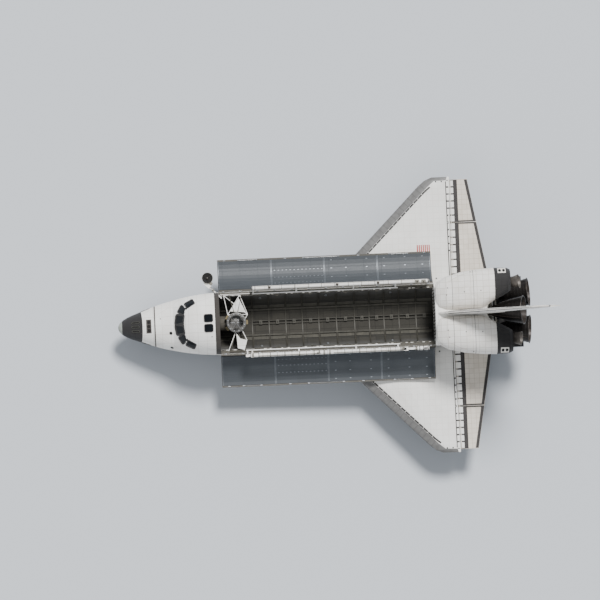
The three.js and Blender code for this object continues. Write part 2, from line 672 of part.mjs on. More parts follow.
// The room that the upper bell needs above it, at its highest and at both sides
function upperBellRoom() {
  const [name, at, side, height, pitch] = ENGINES[0];
  const { from, to, start, end } = BELL_ROOM;
  const lifted = [-1, 0, 1].map((turn) => {
    const frame = engineFrame([name, at, side, height, pitch + GIMBAL.pitch, turn * GIMBAL.yaw]);
    return bar(along(frame, from), along(frame, to), start, end, 24);
  });
  return wasm.Manifold.hull(lifted);
}

// A bar round the rudder's hinge line, as thick as a share of the panels
function rudderBar(part, from, to) {
  const radius = (z) => part * THREE.MathUtils.mapLinear(z, 0, RUDDER.length, RUDDER.footHalf, RUDDER.tipHalf);
  return bar([0, 0, from], [0, 0, to], radius(from), radius(to), 24);
}

function buildRudder() {
  const { length, height, footRise, span } = RUDDER;
  const { share, cut, below, above, inset } = RUDDER_SHAFT;
  const frame = rudderFrame();
  airframe.add(frame);
  const aboveFoot = new THREE.BoxGeometry(FAR, FAR, FAR).translate(0, 0, FAR / 2);
  const belowTop = new THREE.BoxGeometry(FAR, FAR, FAR).translate(0, 0, height - FAR / 2);
  const panel = loft(span.map(rudderRing))
    .subtract(rudderBar(cut, -below, length + above))
    .intersect(solid(aboveFoot.rotateY(-rad(FIN_SWEEP + footRise))))
    .intersect(solid(belowTop.rotateY(-rad(FIN_SWEEP))));
  for (const [word, side] of SIDES) mesh(`rudder_panel_${word}`, panel, "whiteTile", frame, side);
  mesh("rudder_shaft", rudderBar(share, inset, length - inset), "structure", frame);
}

function buildFin() {
  const { footHalf, tipHalf, length } = RUDDER;
  const { socket, socketMore } = RUDDER_SHAFT;
  const hollow = new THREE.CylinderGeometry(socket * tipHalf, socket * footHalf, length + socketMore, 24)
    .rotateX(Math.PI / 2)
    .translate(0, 0, length / 2)
    .applyMatrix4(rudderFrame().matrix);
  const blade = loft(FIN_SECTIONS.map(finRing)).subtract(solid(hollow));
  const housing = loft(CHUTE_HOUSING.map(([at, half, low, high]) =>
    [[-half, low], [half, low], [half, high], [-half, high]].map(([y, z]) => [station(at), y, level(z)])));
  mesh("fin", join(blade, housing).subtract(aftRoom()).subtract(upperBellRoom()), "whiteTile");
}

// Engines

// A hollow bell on a round head, turned about x
function bell({ head, headRadius, shoulder, start, length, exit, throat, wall }) {
  const flare = (t) => throat + (exit - throat) * (BELL_FLARE * t - (BELL_FLARE - 1) * t * t);
  const floor = start + BELL_FLOOR;
  const outer = BELL_STEPS.map((t) => [flare(t), start + t * (length - start)]);
  const inner = BELL_STEPS.map((t) => [flare(t) - wall, floor + t * (length - floor)]).reverse();
  const profile = [[0, head], [headRadius, head], [headRadius, shoulder], ...outer, ...inner, [0, floor]];
  const shape = new THREE.LatheGeometry(profile.map((point) => new THREE.Vector2(...point)), BELL_SIDES);
  return shape.rotateZ(-Math.PI / 2);
}

function buildEngines() {
  for (const engine of ENGINES) {
    const frame = engineFrame(engine);
    airframe.add(frame);
    mesh(`engine_swivel_${engine[0]}`, solid(new THREE.SphereGeometry(SWIVEL.radius, 12, 8)), "steel", frame);
    mesh(`engine_bell_${engine[0]}`, solid(bell(BELL)), "bell", frame);
  }
  const small = solid(bell(SMALL_BELL).applyMatrix4(engineFrame(SMALL_ENGINE).matrix));
  pair("small_engine_bell", small, "bell");
}

// Payload doors, with radiators on their inner faces

function buildDoors() {
  const { front, back, thick, edge } = DOOR;
  const shellOf = (from, to, outer, inner) =>
    hull(from, to, outer).subtract(hull(from - LAP, to + LAP, inner));
  const quarter = (y, z) => box([0, FAR], [y, FAR], [z, FAR]);
  const door = shellOf(front, back, 0, thick).intersect(quarter(edge, BAY.hinge + edge));
  const skin = thick + RADIATOR.gap;
  const [first, middle] = [RADIATOR.first, RADIATOR.first + 2 * RADIATOR.length];
  const panels = { forward: [first, middle - RADIATOR.slot], aft: [middle, middle + 2 * RADIATOR.length] };
  for (const [word, side] of SIDES) {
    const leaf = new THREE.Group();
    leaf.position.set(0, side * BAY.half, BAY.hinge);
    leaf.rotation.x = -side * rad(DOOR.open);
    airframe.add(leaf);
    const hang = (name, shape, finish) =>
      mesh(name, shape, finish, leaf, side).position.set(0, -side * BAY.half, -BAY.hinge);
    hang(`payload_door_${word}`, door, "whiteTile");
    for (const [where, [from, to]] of Object.entries(panels)) {
      const shell = shellOf(from, to, skin, skin + RADIATOR.thick);
      const panel = shell.intersect(quarter(RADIATOR.edge, RADIATOR.low));
      hang(`radiator_${where}_${word}`, panel, "radiator");
    }
  }
}

// Arm, sensor boom and antenna on the sills

// Pedestals on a turning rod, each with a saddle under the tube that it carries
function cradle(side, stations, tubeRadius) {
  const { pad, padLow, padHigh, foot, head, rodAhead, rodBehind } = PEDESTAL;
  const pin = [side * ARM.rollY, ARM.rollZ];
  const saddle = [side * ARM.y, ARM.z];
  const ends = [stations[0] - rodAhead, stations.at(-1) + rodBehind];
  const rod = bar([ends[0], ...pin], [ends[1], ...pin], ARM.pinRadius, ARM.pinRadius, 12);
  const posts = stations.map((x) => {
    const padZ = [ARM.z - tubeRadius - padLow, ARM.z - padHigh];
    const under = box([x - pad, x + pad], [saddle[0] - pad, saddle[0] + pad], padZ);
    return bar([x, ...pin], [x, ...saddle], foot, head, 10).add(under);
  });
  return join(rod, ...posts);
}

// A tube along the stowed arm
const armTube = (from, to, radius) =>
  bar([from, -ARM.y, ARM.z], [to, -ARM.y, ARM.z], radius, radius, 20);

// A box beside the stowed arm, from its y and z to the ranges given
const armBox = (xs, ys, zs) => box(xs, ys.map((y) => y - ARM.y), zs.map((z) => z + ARM.z));

const across = (x, near, far, height, radius) =>
  bar([x, near - ARM.y, height], [x, far - ARM.y, height], radius, radius, 18);

function shoulderStand() {
  const { low, high, radius, lug, lugThick, lugTop, half } = SHOULDER;
  const x = ARM_STATIONS.shoulder;
  const post = [[x, -ARM.rollY, ARM.rollZ], [x, -ARM.y, ARM.z - low + SHOULDER_POST.rise]];
  const boxTop = -high - SHOULDER_BOX.lower;
  return join(
    bar(...post, SHOULDER_POST.foot, SHOULDER_POST.head, 10),
    bar([x, -ARM.y, ARM.z - low], [x, -ARM.y, ARM.z - high], radius, radius, 20),
    armBox([x - half, x + half], [0, lug + lugThick], [-low, boxTop]),
    armBox([x - half, x + half], [lug, lug + lugThick], [-low, lugTop]),
    armBox([x - SHOULDER_BOX.from, x - SHOULDER_BOX.to], [-SHOULDER_BOX.half, radius], [-low, boxTop]),
  );
}

// One side of the elbow: the end of its tube, and the lug that reaches down to the pin
function elbowSide(end, sides) {
  const x = ARM_STATIONS.elbow;
  const height = ARM.z - ELBOW.drop;
  const span = (from, to) => [x + end * from, x + end * to].sort((a, b) => a - b);
  return join(
    armTube(...span(ELBOW.gap, ELBOW.joint), ARM.joint),
    across(x, ...sides, height, ELBOW.pin),
    armBox(span(ELBOW.lugGap, ELBOW.lug), sides, [-ELBOW.drop - ELBOW.lugLow, 0]),
  );
}

function buildArms() {
  const { shoulder, elbow, wrist, yaw, roll, tip } = ARM_STATIONS;
  const clear = armTube(0, FAR, ARM.radius + ARM.clear);
  const stand = cradle(-1, PEDESTALS, ARM.radius + ARM.clear).subtract(clear);
  mesh("arm_cradle", join(stand, shoulderStand()), "armBlanket");

  const shoulderPin = across(shoulder, -ARM.radius, ARM.radius, ARM.z, SHOULDER.pin);
  const upper = armTube(shoulder, elbow - ELBOW.tube, ARM.radius);
  mesh("arm_upper", join(shoulderPin, upper, elbowSide(-1, ELBOW_SIDES.upper)), "armBlanket");

  const fore = armTube(elbow + ELBOW.tube, wrist - WRIST.tube, ARM.fore);
  const collar = armTube(wrist - WRIST.collar, wrist - WRIST.tube, WRIST.collarRadius);
  const fork = [-1, 1].map((end) =>
    armBox([wrist - WRIST.fork[0], wrist + WRIST.fork[1]],
      [end * WRIST.side - WRIST.half, end * WRIST.side + WRIST.half], [-WRIST.high, WRIST.high]));
  mesh("arm_fore", join(fore, collar, ...fork, elbowSide(1, ELBOW_SIDES.fore)), "armBlanket");

  mesh("arm_wrist", wristBody(wrist, yaw), "armBlanket");
  const knuckle = bar([yaw, -ARM.y, ARM.z - WRIST_BODY.half], [yaw, -ARM.y, ARM.z + WRIST_BODY.half],
    WRIST_BODY.pin, WRIST_BODY.pin, 18);
  const neck = armTube(yaw, yaw + PALM.neckEnd, PALM.neck);
  mesh("arm_palm", join(knuckle, neck, armTube(yaw + PALM.bodyFrom, roll - PALM.gap, PALM.body)), "armBlanket");
  mesh("arm_hand", armTube(roll + PALM.gap, tip, PALM.handRadius), "armBlanket");

  const { from, to, radius } = SENSOR_BOOM;
  const tube = bar([from, ARM.y, ARM.z], [to, ARM.y, ARM.z], radius, radius, 20);
  const stations = PEDESTALS.map((x, i) => (i === 0 ? x + BOOM_FIRST_SHIFT : x));
  mesh("sensor_boom", join(cradle(1, stations, radius), tube), "armBlanket");
}

// The block between the wrist's pitch pin and the fork round its yaw pin
function wristBody(pitch, yaw) {
  const { pin, half, block, blockEnd, fork, plate: back, plateHalf } = WRIST_BODY;
  const prongs = [-1, 1].map((end) =>
    armBox([yaw - fork[0], yaw + fork[1]], [-WRIST.high, WRIST.high],
      [end * WRIST.side - WRIST.half, end * WRIST.side + WRIST.half]));
  return join(
    across(pitch, -half, half, ARM.z, pin),
    armBox([pitch, yaw - blockEnd], [-block, block], [-block, block]),
    armBox([yaw - back[0], yaw - back[1]], [-plateHalf[0], plateHalf[0]], [-plateHalf[1], plateHalf[1]]),
    ...prongs,
  );
}

function buildAntenna() {
  const { x, y, z, foot, reach, aside, turn, post, boomHalf } = ANTENNA;
  const frame = new THREE.Group();
  frame.position.set(x, y, 0);
  frame.rotation.z = rad(turn);
  airframe.add(frame);
  const upright = (at, from, to, radius, endRadius = radius) =>
    bar([...at, from], [...at, to], radius, endRadius, 14);
  const bowl = new THREE.LatheGeometry(DISH.profile.map((point) => new THREE.Vector2(...point)), 28);
  const centre = [reach, -aside];
  const { from, to, near, far, low, high } = ANTENNA_BOX;
  const bracket = ANTENNA_BRACKET;
  const besides = [-aside - bracket.beyond, 0];
  const bowlFoot = z + DISH.rise;
  mesh("dish_antenna", join(
    upright([0, 0], LONGERON.top + foot, z + post, post),
    box([0, reach], [-boomHalf, boomHalf], [z - boomHalf, z + boomHalf]),
    box([reach - from, reach - to], [near, far], [z - low, z + high]),
    upright(centre, z, bowlFoot + DISH.lap, post),
    box([reach - bracket.from, reach + bracket.to], besides, [z - bracket.half, z + bracket.half]),
    solid(bowl.rotateX(Math.PI / 2).translate(...centre, bowlFoot)),
    upright(centre, bowlFoot + DISH.lap, z + DISH.feed, DISH.feedBase, DISH.feedTip),
  ), "armBlanket", frame);
}

// Landing gear, down

function wheel({ radius, width }) {
  const near = TYRE_PROFILE.map(([r, w]) => [r * radius, (w * width) / 2]);
  const far = [...near].reverse().map(([r, w]) => [r, -w]);
  return new THREE.LatheGeometry([...near, ...far].map((point) => new THREE.Vector2(...point)), TYRE_SIDES);
}

const axleLevel = (gear) => gear.contact + gear.radius;

// A bar across the airframe, centred on a gear's axle
function axleBar(gear, half, radius) {
  const z = axleLevel(gear);
  return bar([gear.x, gear.y - half, z], [gear.x, gear.y + half, z], radius, radius, 18);
}

function twinWheels(gear) {
  const half = gear.track / 2;
  const tyres = [-half, half].map((y) => solid(wheel(gear).translate(gear.x, gear.y + y, axleLevel(gear))));
  return join(axleBar(gear, half, HUB.axle), ...tyres);
}

// The eye of a leg, round the axle between twin wheels
const axleEye = (gear) => axleBar(gear, gear.track / 2 - gear.width / 2 - HUB.gap, HUB.eye);
const axleBore = (gear) => axleBar(gear, 900, HUB.bore);

function buildNoseGear() {
  const { x } = NOSE_WHEEL;
  const { top, sleeve, radius, piston, pistonGap } = NOSE_LEG;
  const upright = (from, to, r) => bar([x, 0, from], [x, 0, to], r, r, 20);
  const head = [NOSE_BRACE.x, top - NOSE_BRACE.drop];
  const braces = [-1, 1].map((side) =>
    bar([x, side * NOSE_BRACE.near, NOSE_BRACE.foot], [head[0], side * NOSE_BRACE.far, head[1]],
      NOSE_BRACE.radius, NOSE_BRACE.radius, 12));
  const crossbar = bar([head[0], -NOSE_BRACE.barHalf, head[1]], [head[0], NOSE_BRACE.barHalf, head[1]],
    NOSE_BRACE.bar, NOSE_BRACE.bar, 12);
  mesh("nose_gear_leg", join(upright(top, sleeve, radius), crossbar, ...braces), "steel");

  const fork = join(upright(sleeve - pistonGap, axleLevel(NOSE_WHEEL), piston), axleEye(NOSE_WHEEL));
  mesh("nose_gear_fork", fork.subtract(axleBore(NOSE_WHEEL)), "steel");
  mesh("nose_wheels", twinWheels(NOSE_WHEEL), "rubber");
  const { front, back, near, far, low, high } = NOSE_DOOR;
  const span = [NOSE_WELL.front + front, NOSE_WELL.back - back];
  const door = box(span, [NOSE_WELL.half + near, NOSE_WELL.half + far], [low, high]);
  pair("nose_gear_door", door.subtract(hull(NOSE_CAP_END, BAY.front, -GAP)), "blackTile");
}

function buildMainGear() {
  const { top, sleeve, radius, piston } = MAIN_LEG;
  const at = (x, y, z) => [MAIN_WHEEL.x + x, MAIN_WHEEL.y + y, z];
  const head = top - BRACE_DROP;
  const { back, bar: crossbar, barHalf } = DRAG_BRACE;
  const leg = join(
    bar(at(0, 0, top), at(0, 0, sleeve), radius, radius, 20),
    bar(at(0, 0, sleeve + LAP), at(0, 0, axleLevel(MAIN_WHEEL)), piston, piston, 20),
    axleEye(MAIN_WHEEL),
    bar(at(0, 0, DRAG_BRACE.foot), at(-back, 0, head), DRAG_BRACE.radius, DRAG_BRACE.radius, 12),
    bar(at(-back, -barHalf, head), at(-back, barHalf, head), crossbar, crossbar, 12),
    bar(at(0, 0, SIDE_BRACE.foot), at(0, SIDE_BRACE.out, head), SIDE_BRACE.radius, SIDE_BRACE.radius, 12),
  );
  pair("main_gear_leg", leg.subtract(axleBore(MAIN_WHEEL)), "steel");
  pair("main_wheels", twinWheels(MAIN_WHEEL), "rubber");
  const { inset, near, far, low, gap } = MAIN_DOOR;
  const span = [MAIN_WELL.front + inset, MAIN_WELL.back - inset];
  const door = box(span, [MAIN_WELL.far + near, MAIN_WELL.far + far], [low, wingFloor(MAIN_WELL.far) - gap]);
  pair("main_gear_door", door, "blackTile");
}

buildNose();
buildCabin();
buildBay();
buildWings();
buildAft();
buildRudder();
buildFin();
buildEngines();
buildDoors();
buildArms();
buildAntenna();
buildNoseGear();
buildMainGear();

export default airframe;
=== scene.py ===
"""Finishes and fine parts for a winged orbiter that stands on its wheels with its payload bay open.

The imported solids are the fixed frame. This script gives every one of them a finish, and adds the parts
that are too fine for the solids: tile seams, frames, nozzles, latches, lines and trim. Places are given
in airframe metres: x aft from the nose, y to starboard, z up from the axis of the payload bay.
"""

import json
import logging
import math
from dataclasses import dataclass, replace
from enum import Enum
from itertools import product
from typing import Callable, Sequence

import bmesh
import bpy
import numpy
from mathutils import Matrix, Vector
from mathutils.bvhtree import BVHTree

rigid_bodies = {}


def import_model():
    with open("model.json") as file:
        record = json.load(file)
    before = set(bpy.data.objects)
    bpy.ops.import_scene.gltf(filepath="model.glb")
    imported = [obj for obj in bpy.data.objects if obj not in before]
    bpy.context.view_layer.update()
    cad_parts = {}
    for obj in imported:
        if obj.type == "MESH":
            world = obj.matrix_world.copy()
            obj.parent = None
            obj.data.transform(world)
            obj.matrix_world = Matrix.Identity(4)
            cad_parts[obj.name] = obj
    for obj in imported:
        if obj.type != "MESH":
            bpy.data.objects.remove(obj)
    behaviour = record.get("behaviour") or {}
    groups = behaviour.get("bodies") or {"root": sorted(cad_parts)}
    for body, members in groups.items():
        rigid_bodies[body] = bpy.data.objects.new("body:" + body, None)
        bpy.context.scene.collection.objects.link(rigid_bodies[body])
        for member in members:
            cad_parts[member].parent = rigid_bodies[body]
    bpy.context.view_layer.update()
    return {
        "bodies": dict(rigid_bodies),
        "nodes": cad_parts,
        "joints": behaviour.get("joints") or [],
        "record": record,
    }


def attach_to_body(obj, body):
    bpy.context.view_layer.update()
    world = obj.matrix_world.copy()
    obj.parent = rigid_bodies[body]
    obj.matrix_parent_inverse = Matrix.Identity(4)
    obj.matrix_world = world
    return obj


LOG = logging.getLogger("orbiter")
Point = tuple[float, float, float]
Pair = tuple[float, float]
Place = Sequence[float]
Nodes = dict[str, bpy.types.Object]
Tree = bpy.types.NodeTree
Source = bpy.types.Node | bpy.types.NodeSocket
MM = 0.001
ORIGIN = (0, 0, 0)
AFT, STARBOARD, PORT, UP, DOWN = (1, 0, 0), (0, 1, 0), (0, -1, 0), (0, 0, 1), (0, 0, -1)
MATH = "ShaderNodeMath"
VECTOR_MATH = "ShaderNodeVectorMath"


# Where the airframe stands


@dataclass(frozen=True)
class Stance:
    """How the airframe stands on its wheels, as a turn and a shift of its own frame."""

    nose_down_deg: float = 3.5
    shift: Point = (-18.2855, 0.0, 4.5096)

    def matrix(self) -> Matrix:
        """The turn and shift from airframe places to places in the row frame."""
        turn = Matrix.Rotation(math.radians(-self.nose_down_deg), 4, "Y")
        return Matrix.Translation(self.shift) @ turn


STANCE = Stance()


# Finishes


class Facing(Enum):
    """Directions in airframe axes that a painted zone may be limited to."""

    UP = (0.0, 0.0, 1.0)
    DOWN = (0.0, 0.0, -1.0)


@dataclass(frozen=True)
class Limit:
    """A flat limit: it holds where x*X + y*|Y| + z*Z is below a value, in airframe metres."""

    x: float = 0.0
    y: float = 0.0
    z: float = 0.0
    below: float = 0.0


@dataclass(frozen=True)
class Zone:
    """A part of a surface with a colour of its own, inside every one of its limits."""

    colour: str
    limits: tuple[Limit, ...] = ()
    facing: Facing | None = None
    facing_above: float = 0.25


def linear(hex_colour: str) -> tuple[float, float, float, float]:
    """A linear colour from an sRGB hex value such as #C0FFEE.

    Args:
        hex_colour: the colour as six hex digits after a hash.

    Returns:
        Red, green, blue and an alpha of one.
    """
    shares = [int(hex_colour[i:i + 2], 16) / 255 for i in (1, 3, 5)]
    curve = [v / 12.92 if v <= 0.04045 else ((v + 0.055) / 1.055) ** 2.4 for v in shares]
    return (curve[0], curve[1], curve[2], 1.0)


def add_node(tree: Tree, kind: str, inputs: dict | None = None, **settings) -> bpy.types.Node:
    """Adds a shader node with its settings and links.

    Args:
        tree: the node tree to add to.
        kind: the node's type name.
        inputs: a value, a socket or a node (its first output) for each input, by name or number.
        **settings: the node's own options.

    Returns:
        The new node.
    """
    made = tree.nodes.new(kind)
    for name, value in settings.items():
        setattr(made, name, value)
    for key, value in (inputs or {}).items():
        if isinstance(value, bpy.types.Node):
            value = value.outputs[0]
        if isinstance(value, bpy.types.NodeSocket):
            tree.links.new(value, made.inputs[key])
        else:
            made.inputs[key].default_value = value
    return made


@dataclass(frozen=True)
class Finish:
    """What a surface is made of, and how its cells, seams, mottling and grain look.

    The cells are tiles, blankets or sheets of one size on all three axes of the airframe.
    """

    name: str
    slot: str
    colour: str
    second: str
    roughness: float
    metallic: float = 0.0
    ior: float = 1.5
    cell_mm: Point | None = None
    seam_mm: float = 24.0
    seam_colour: str = "#8C877E"
    seam_depth_mm: float = 6.0
    seam_strength: float = 0.7
    cell_spread: float = 0.35
    mottle_mm: float = 900.0
    mottle_share: float = 0.5
    stretch: Point = (1.0, 1.0, 1.0)
    grain_mm: float = 60.0
    grain_depth_mm: float = 1.0
    roughness_spread: float = 0.12
    coat: float = 0.0
    sheen: float = 0.0
    transmission: float = 0.0
    zones: tuple[Zone, ...] = ()

    def material(self) -> bpy.types.Material:
        """The finish as a node material, made on first use.

        Returns:
            The material, shared by all pieces of this finish.
        """
        found = bpy.data.materials.get(self.name)
        if found is not None:
            return found
        made = bpy.data.materials.new(self.name)
        made.use_nodes = True
        tree = made.node_tree
        tree.nodes.clear()
        place, normal = self._places(tree)
        pulled = add_node(tree, VECTOR_MATH, {0: place, 1: self.stretch}, operation="MULTIPLY")
        mottle, grain = (
            add_node(tree, "ShaderNodeTexNoise",
                     {"Vector": source, "Scale": 1 / (size * MM), "Detail": detail, "Roughness": 0.55})
            for source, size, detail in ((pulled, self.mottle_mm, 5.0), (place, self.grain_mm, 3.0)))
        seam, tone = self._cells(tree, place, normal)
        colour = self._colour(tree, place, normal, mottle, tone, seam)
        rough = add_node(tree, MATH, {
            0: grain, 1: self.roughness_spread, 2: self.roughness - self.roughness_spread / 2,
        }, operation="MULTIPLY_ADD", use_clamp=True)
        shader = add_node(tree, "ShaderNodeBsdfPrincipled", {
            "Base Color": colour, "Roughness": rough, "Normal": self._bump(tree, seam, grain),
            "Metallic": self.metallic, "IOR": self.ior, "Coat Weight": self.coat,
            "Sheen Weight": self.sheen, "Transmission Weight": self.transmission,
        })
        add_node(tree, "ShaderNodeOutputMaterial", {"Surface": shader})
        return made

    def _places(self, tree: Tree) -> tuple[Source, Source]:
        """The surface's place and normal in airframe axes, whatever the pose.

        Args:
            tree: the node tree to add to.

        Returns:
            The place and the normal.
        """
        source = add_node(tree, "ShaderNodeTexCoord")
        back = STANCE.matrix().inverted()
        turn = tuple(back.to_euler("XYZ"))
        place = add_node(tree, "ShaderNodeMapping", {
            "Vector": source.outputs["Object"], "Location": back.translation, "Rotation": turn,
        }, vector_type="POINT")
        normal = add_node(tree, "ShaderNodeMapping", {
            "Vector": source.outputs["Normal"], "Rotation": turn,
        }, vector_type="NORMAL")
        return place, normal

    def _cells(self, tree: Tree, place: Source, normal: Source) -> tuple[Source | None, Source | None]:
        """The seams between cells, from 0 to 1, and a random tone for each cell.

        Args:
            tree: the node tree to add to.
            place: the surface's place in airframe axes.
            normal: the surface's normal in airframe axes.

        Returns:
            The seams and the tone, or None for both where there are no cells.
        """
        if self.cell_mm is None:
            return None, None
        cell = Vector(self.cell_mm) * MM
        share = [self.seam_mm * MM / side for side in cell]
        scaled = add_node(tree, VECTOR_MATH, {0: place, 1: cell}, operation="DIVIDE")
        whole = add_node(tree, VECTOR_MATH, {0: scaled}, operation="FLOOR")
        tone = add_node(tree, "ShaderNodeTexWhiteNoise", {"Vector": whole}, noise_dimensions="3D")
        ramp, side_on = scaled, normal
        for operation, *values in (
                ("FRACTION",), ("SUBTRACT", (0.5, 0.5, 0.5)), ("ABSOLUTE",),
                ("MULTIPLY_ADD", [1 / s for s in share], [-(0.5 - s) / s for s in share]),
                ("MAXIMUM", (0, 0, 0))):
            ramp = add_node(tree, VECTOR_MATH, {0: ramp, **dict(enumerate(values, 1))}, operation=operation)
        for operation, *values in (("ABSOLUTE",), ("MULTIPLY_ADD", (-9, -9, -9), (8, 8, 8)),
                                   ("MAXIMUM", (0, 0, 0)), ("MINIMUM", (1, 1, 1))):
            side_on = add_node(tree, VECTOR_MATH, {0: side_on, **dict(enumerate(values, 1))},
                               operation=operation)
        seams = add_node(tree, VECTOR_MATH, {0: ramp, 1: side_on}, operation="MULTIPLY")
        axes = add_node(tree, "ShaderNodeSeparateXYZ", {0: seams}).outputs
        first = add_node(tree, MATH, {0: axes[0], 1: axes[1]}, operation="MAXIMUM")
        return add_node(tree, MATH, {0: first, 1: axes[2]}, operation="MAXIMUM"), tone

    def _colour(self, tree: Tree, place: Source, normal: Source, mottle: Source, tone: Source | None,
                seam: Source | None) -> Source:
        """The colour with its mottling, cell tones, painted zones and seams.

        Args:
            tree: the node tree to add to.
            place: the surface's place in airframe axes.
            normal: the surface's normal in airframe axes.
            mottle: the coarse noise.
            tone: the random tone of each cell, or None.
            seam: the seams from 0 to 1, or None.

        Returns:
            The colour.
        """
        share = add_node(tree, "ShaderNodeMapRange", {
            0: mottle, 1: 0.35, 2: 0.65, 3: 0.0, 4: self.mottle_share})
        if tone is not None:
            share = add_node(tree, MATH, {0: tone, 1: self.cell_spread, 2: share},
                             operation="MULTIPLY_ADD", use_clamp=True)
        mixed = {0: share, 6: linear(self.colour), 7: linear(self.second)}
        base = add_node(tree, "ShaderNodeMix", mixed, data_type="RGBA").outputs[2]
        if self.zones:
            axes = add_node(tree, "ShaderNodeSeparateXYZ", {0: place}).outputs
            side = add_node(tree, MATH, {0: axes[1]}, operation="ABSOLUTE")
            folded = add_node(tree, "ShaderNodeCombineXYZ", {0: axes[0], 1: side, 2: axes[2]})
        for zone in self.zones:
            mixed = {0: share, 6: linear(zone.colour), 7: linear(self._deeper(zone.colour))}
            shade = add_node(tree, "ShaderNodeMix", mixed, data_type="RGBA").outputs[2]
            mixed = {0: self._zone_mask(tree, zone, folded, normal), 6: base, 7: shade}
            base = add_node(tree, "ShaderNodeMix", mixed, data_type="RGBA").outputs[2]
        if seam is None:
            return base
        strength = add_node(tree, MATH, {0: seam, 1: self.seam_strength}, operation="MULTIPLY")
        return add_node(tree, "ShaderNodeMix", {0: strength, 6: base, 7: linear(self.seam_colour)},
                        data_type="RGBA", blend_type="MULTIPLY").outputs[2]

    @staticmethod
    def _deeper(colour: str) -> str:
        """The colour a little darker, for the mottling of a painted zone."""
        shares = [int(colour[i:i + 2], 16) for i in (1, 3, 5)]
        return "#" + "".join(f"{int(v * 0.86):02X}" for v in shares)

    @staticmethod
    def _zone_mask(tree: Tree, zone: Zone, folded: Source, normal: Source) -> Source:
        """One inside all the zone's limits, else zero; port is folded onto starboard for it.

        Args:
            tree: the node tree to add to.
            zone: the painted zone.
            folded: the place, with port folded onto starboard.
            normal: the surface's normal in airframe axes.

        Returns:
            The mask.
        """
        tests = [(folded, (limit.x, limit.y, limit.z), "LESS_THAN", limit.below) for limit in zone.limits]
        if zone.facing is not None:
            tests.append((normal, zone.facing.value, "GREATER_THAN", zone.facing_above))
        mask = None
        for source, direction, test, value in tests:
            reach = add_node(tree, VECTOR_MATH, {0: source, 1: direction}, operation="DOT_PRODUCT")
            held = add_node(tree, MATH, {0: reach.outputs["Value"], 1: value}, operation=test)
            mask = held if mask is None else add_node(tree, MATH, {0: mask, 1: held}, operation="MULTIPLY")
        return mask

    def _bump(self, tree: Tree, seam: Source | None, grain: Source) -> Source:
        """The seams and the grain as relief, at their real depth.

        Args:
            tree: the node tree to add to.
            seam: the seams from 0 to 1, or None.
            grain: the fine noise.

        Returns:
            The bent normal.
        """
        height = add_node(tree, MATH, {0: grain, 1: self.grain_depth_mm}, operation="MULTIPLY")
        if seam is not None:
            height = add_node(tree, MATH, {0: seam, 1: -self.seam_depth_mm, 2: height},
                              operation="MULTIPLY_ADD")
        return add_node(tree, "ShaderNodeBump", {"Height": height, "Distance": MM, "Strength": 0.8})


# Where the coverings change colour, and where shade is painted, in airframe metres

LOW_LINE = 1.86
NOSE_BLACK = (Limit(x=1.0, z=-0.12, below=2.16),)
NOSE_SLOPE = (Limit(x=0.175, z=1.0, below=-1.07),)
# Painted shade: a dark brown band over the front wall at the mouth of the bay, where it lies in shadow.
BAY_MOUTH_SHADE = (Limit(x=-1.0, below=-8.33), Limit(x=1.0, below=8.78), Limit(z=-1.0, below=-0.2))
BLACK_TILE = "#232121"

# Real tiles are 150 to 200 mm wide with joints of a few millimetres, and weaves and coats are finer
# still: too fine to show in the render. So a cell of tiles stands for about three tiles a side, seams
# are drawn 10 to 40 mm wide, and grain is drawn 18 mm wide or more.

# Coated silica tile: the glassy black coat of the underside, seen as a dull sheen with fine joints.
BLACK_TILES = Finish("black_coated_silica_tile", "black_tile", BLACK_TILE, "#2E2C2B", 0.55,
                     cell_mm=(450, 450, 450), seam_mm=22, seam_colour="#5A5552", cell_spread=0.6,
                     grain_depth_mm=0.8)
# Quilted white felt blankets on the body: matt, a little uneven in tone, with sewn edges.
BODY_BLANKETS = Finish("white_quilted_silica_blanket", "white_tile", "#F4F2ED", "#E6E2DB", 0.82,
                       cell_mm=(760, 760, 760), seam_mm=30, seam_colour="#B7B0A6", seam_strength=0.4,
                       mottle_mm=1300, grain_mm=90, grain_depth_mm=2.5, sheen=0.1,
                       zones=(Zone(BLACK_TILE, (Limit(z=1.0, below=-LOW_LINE),)),
                              Zone(BLACK_TILE, NOSE_SLOPE), Zone(BLACK_TILE, NOSE_BLACK),
                              Zone("#3A3530", BAY_MOUTH_SHADE), Zone(BLACK_TILE, (Limit(x=-1.0, below=-32.2),))))
# The same blankets where no black zone reaches: pods, fin and doors.
PLAIN_BLANKETS = Finish("white_felt_blanket", "white_tile", "#EDEAE5", "#DAD5CD", 0.84,
                        cell_mm=(680, 680, 680), seam_mm=28, seam_colour="#B9B2A8", cell_spread=0.45,
                        mottle_mm=1100, grain_mm=90, grain_depth_mm=2.5, sheen=0.1)
# The rear pods: blankets ahead, and the black thruster block behind.
POD_SKIN = replace(PLAIN_BLANKETS, name="felt_blanket_pod", roughness=0.82, cell_mm=(520, 520, 520),
                   seam_mm=26, seam_colour="#B2ABA1", cell_spread=0.5,
                   zones=(Zone(BLACK_TILE, (Limit(x=-1.0, below=-32.23),)),))
# A door: blankets outside, bare graphite composite on the inner face that lies upward when it is open.
DOOR_SKIN = replace(PLAIN_BLANKETS, name="blanket_over_graphite_door", roughness=0.8, grain_depth_mm=2.0,
                    sheen=0.0, zones=(Zone("#625F58", facing=Facing.UP, facing_above=-0.1),))
# White coated tile on the upper wing: greyer than the blankets, in finer squares.
WING_TILES = Finish("white_coated_wing_tile", "wing_tile", "#EDEBE6", "#DFDCD6", 0.72,
                    cell_mm=(520, 520, 520), seam_mm=24, seam_colour="#B3AEA6", seam_strength=0.28,
                    cell_spread=0.22, mottle_mm=1500,
                    zones=(Zone(BLACK_TILE, facing=Facing.DOWN, facing_above=0.12),))
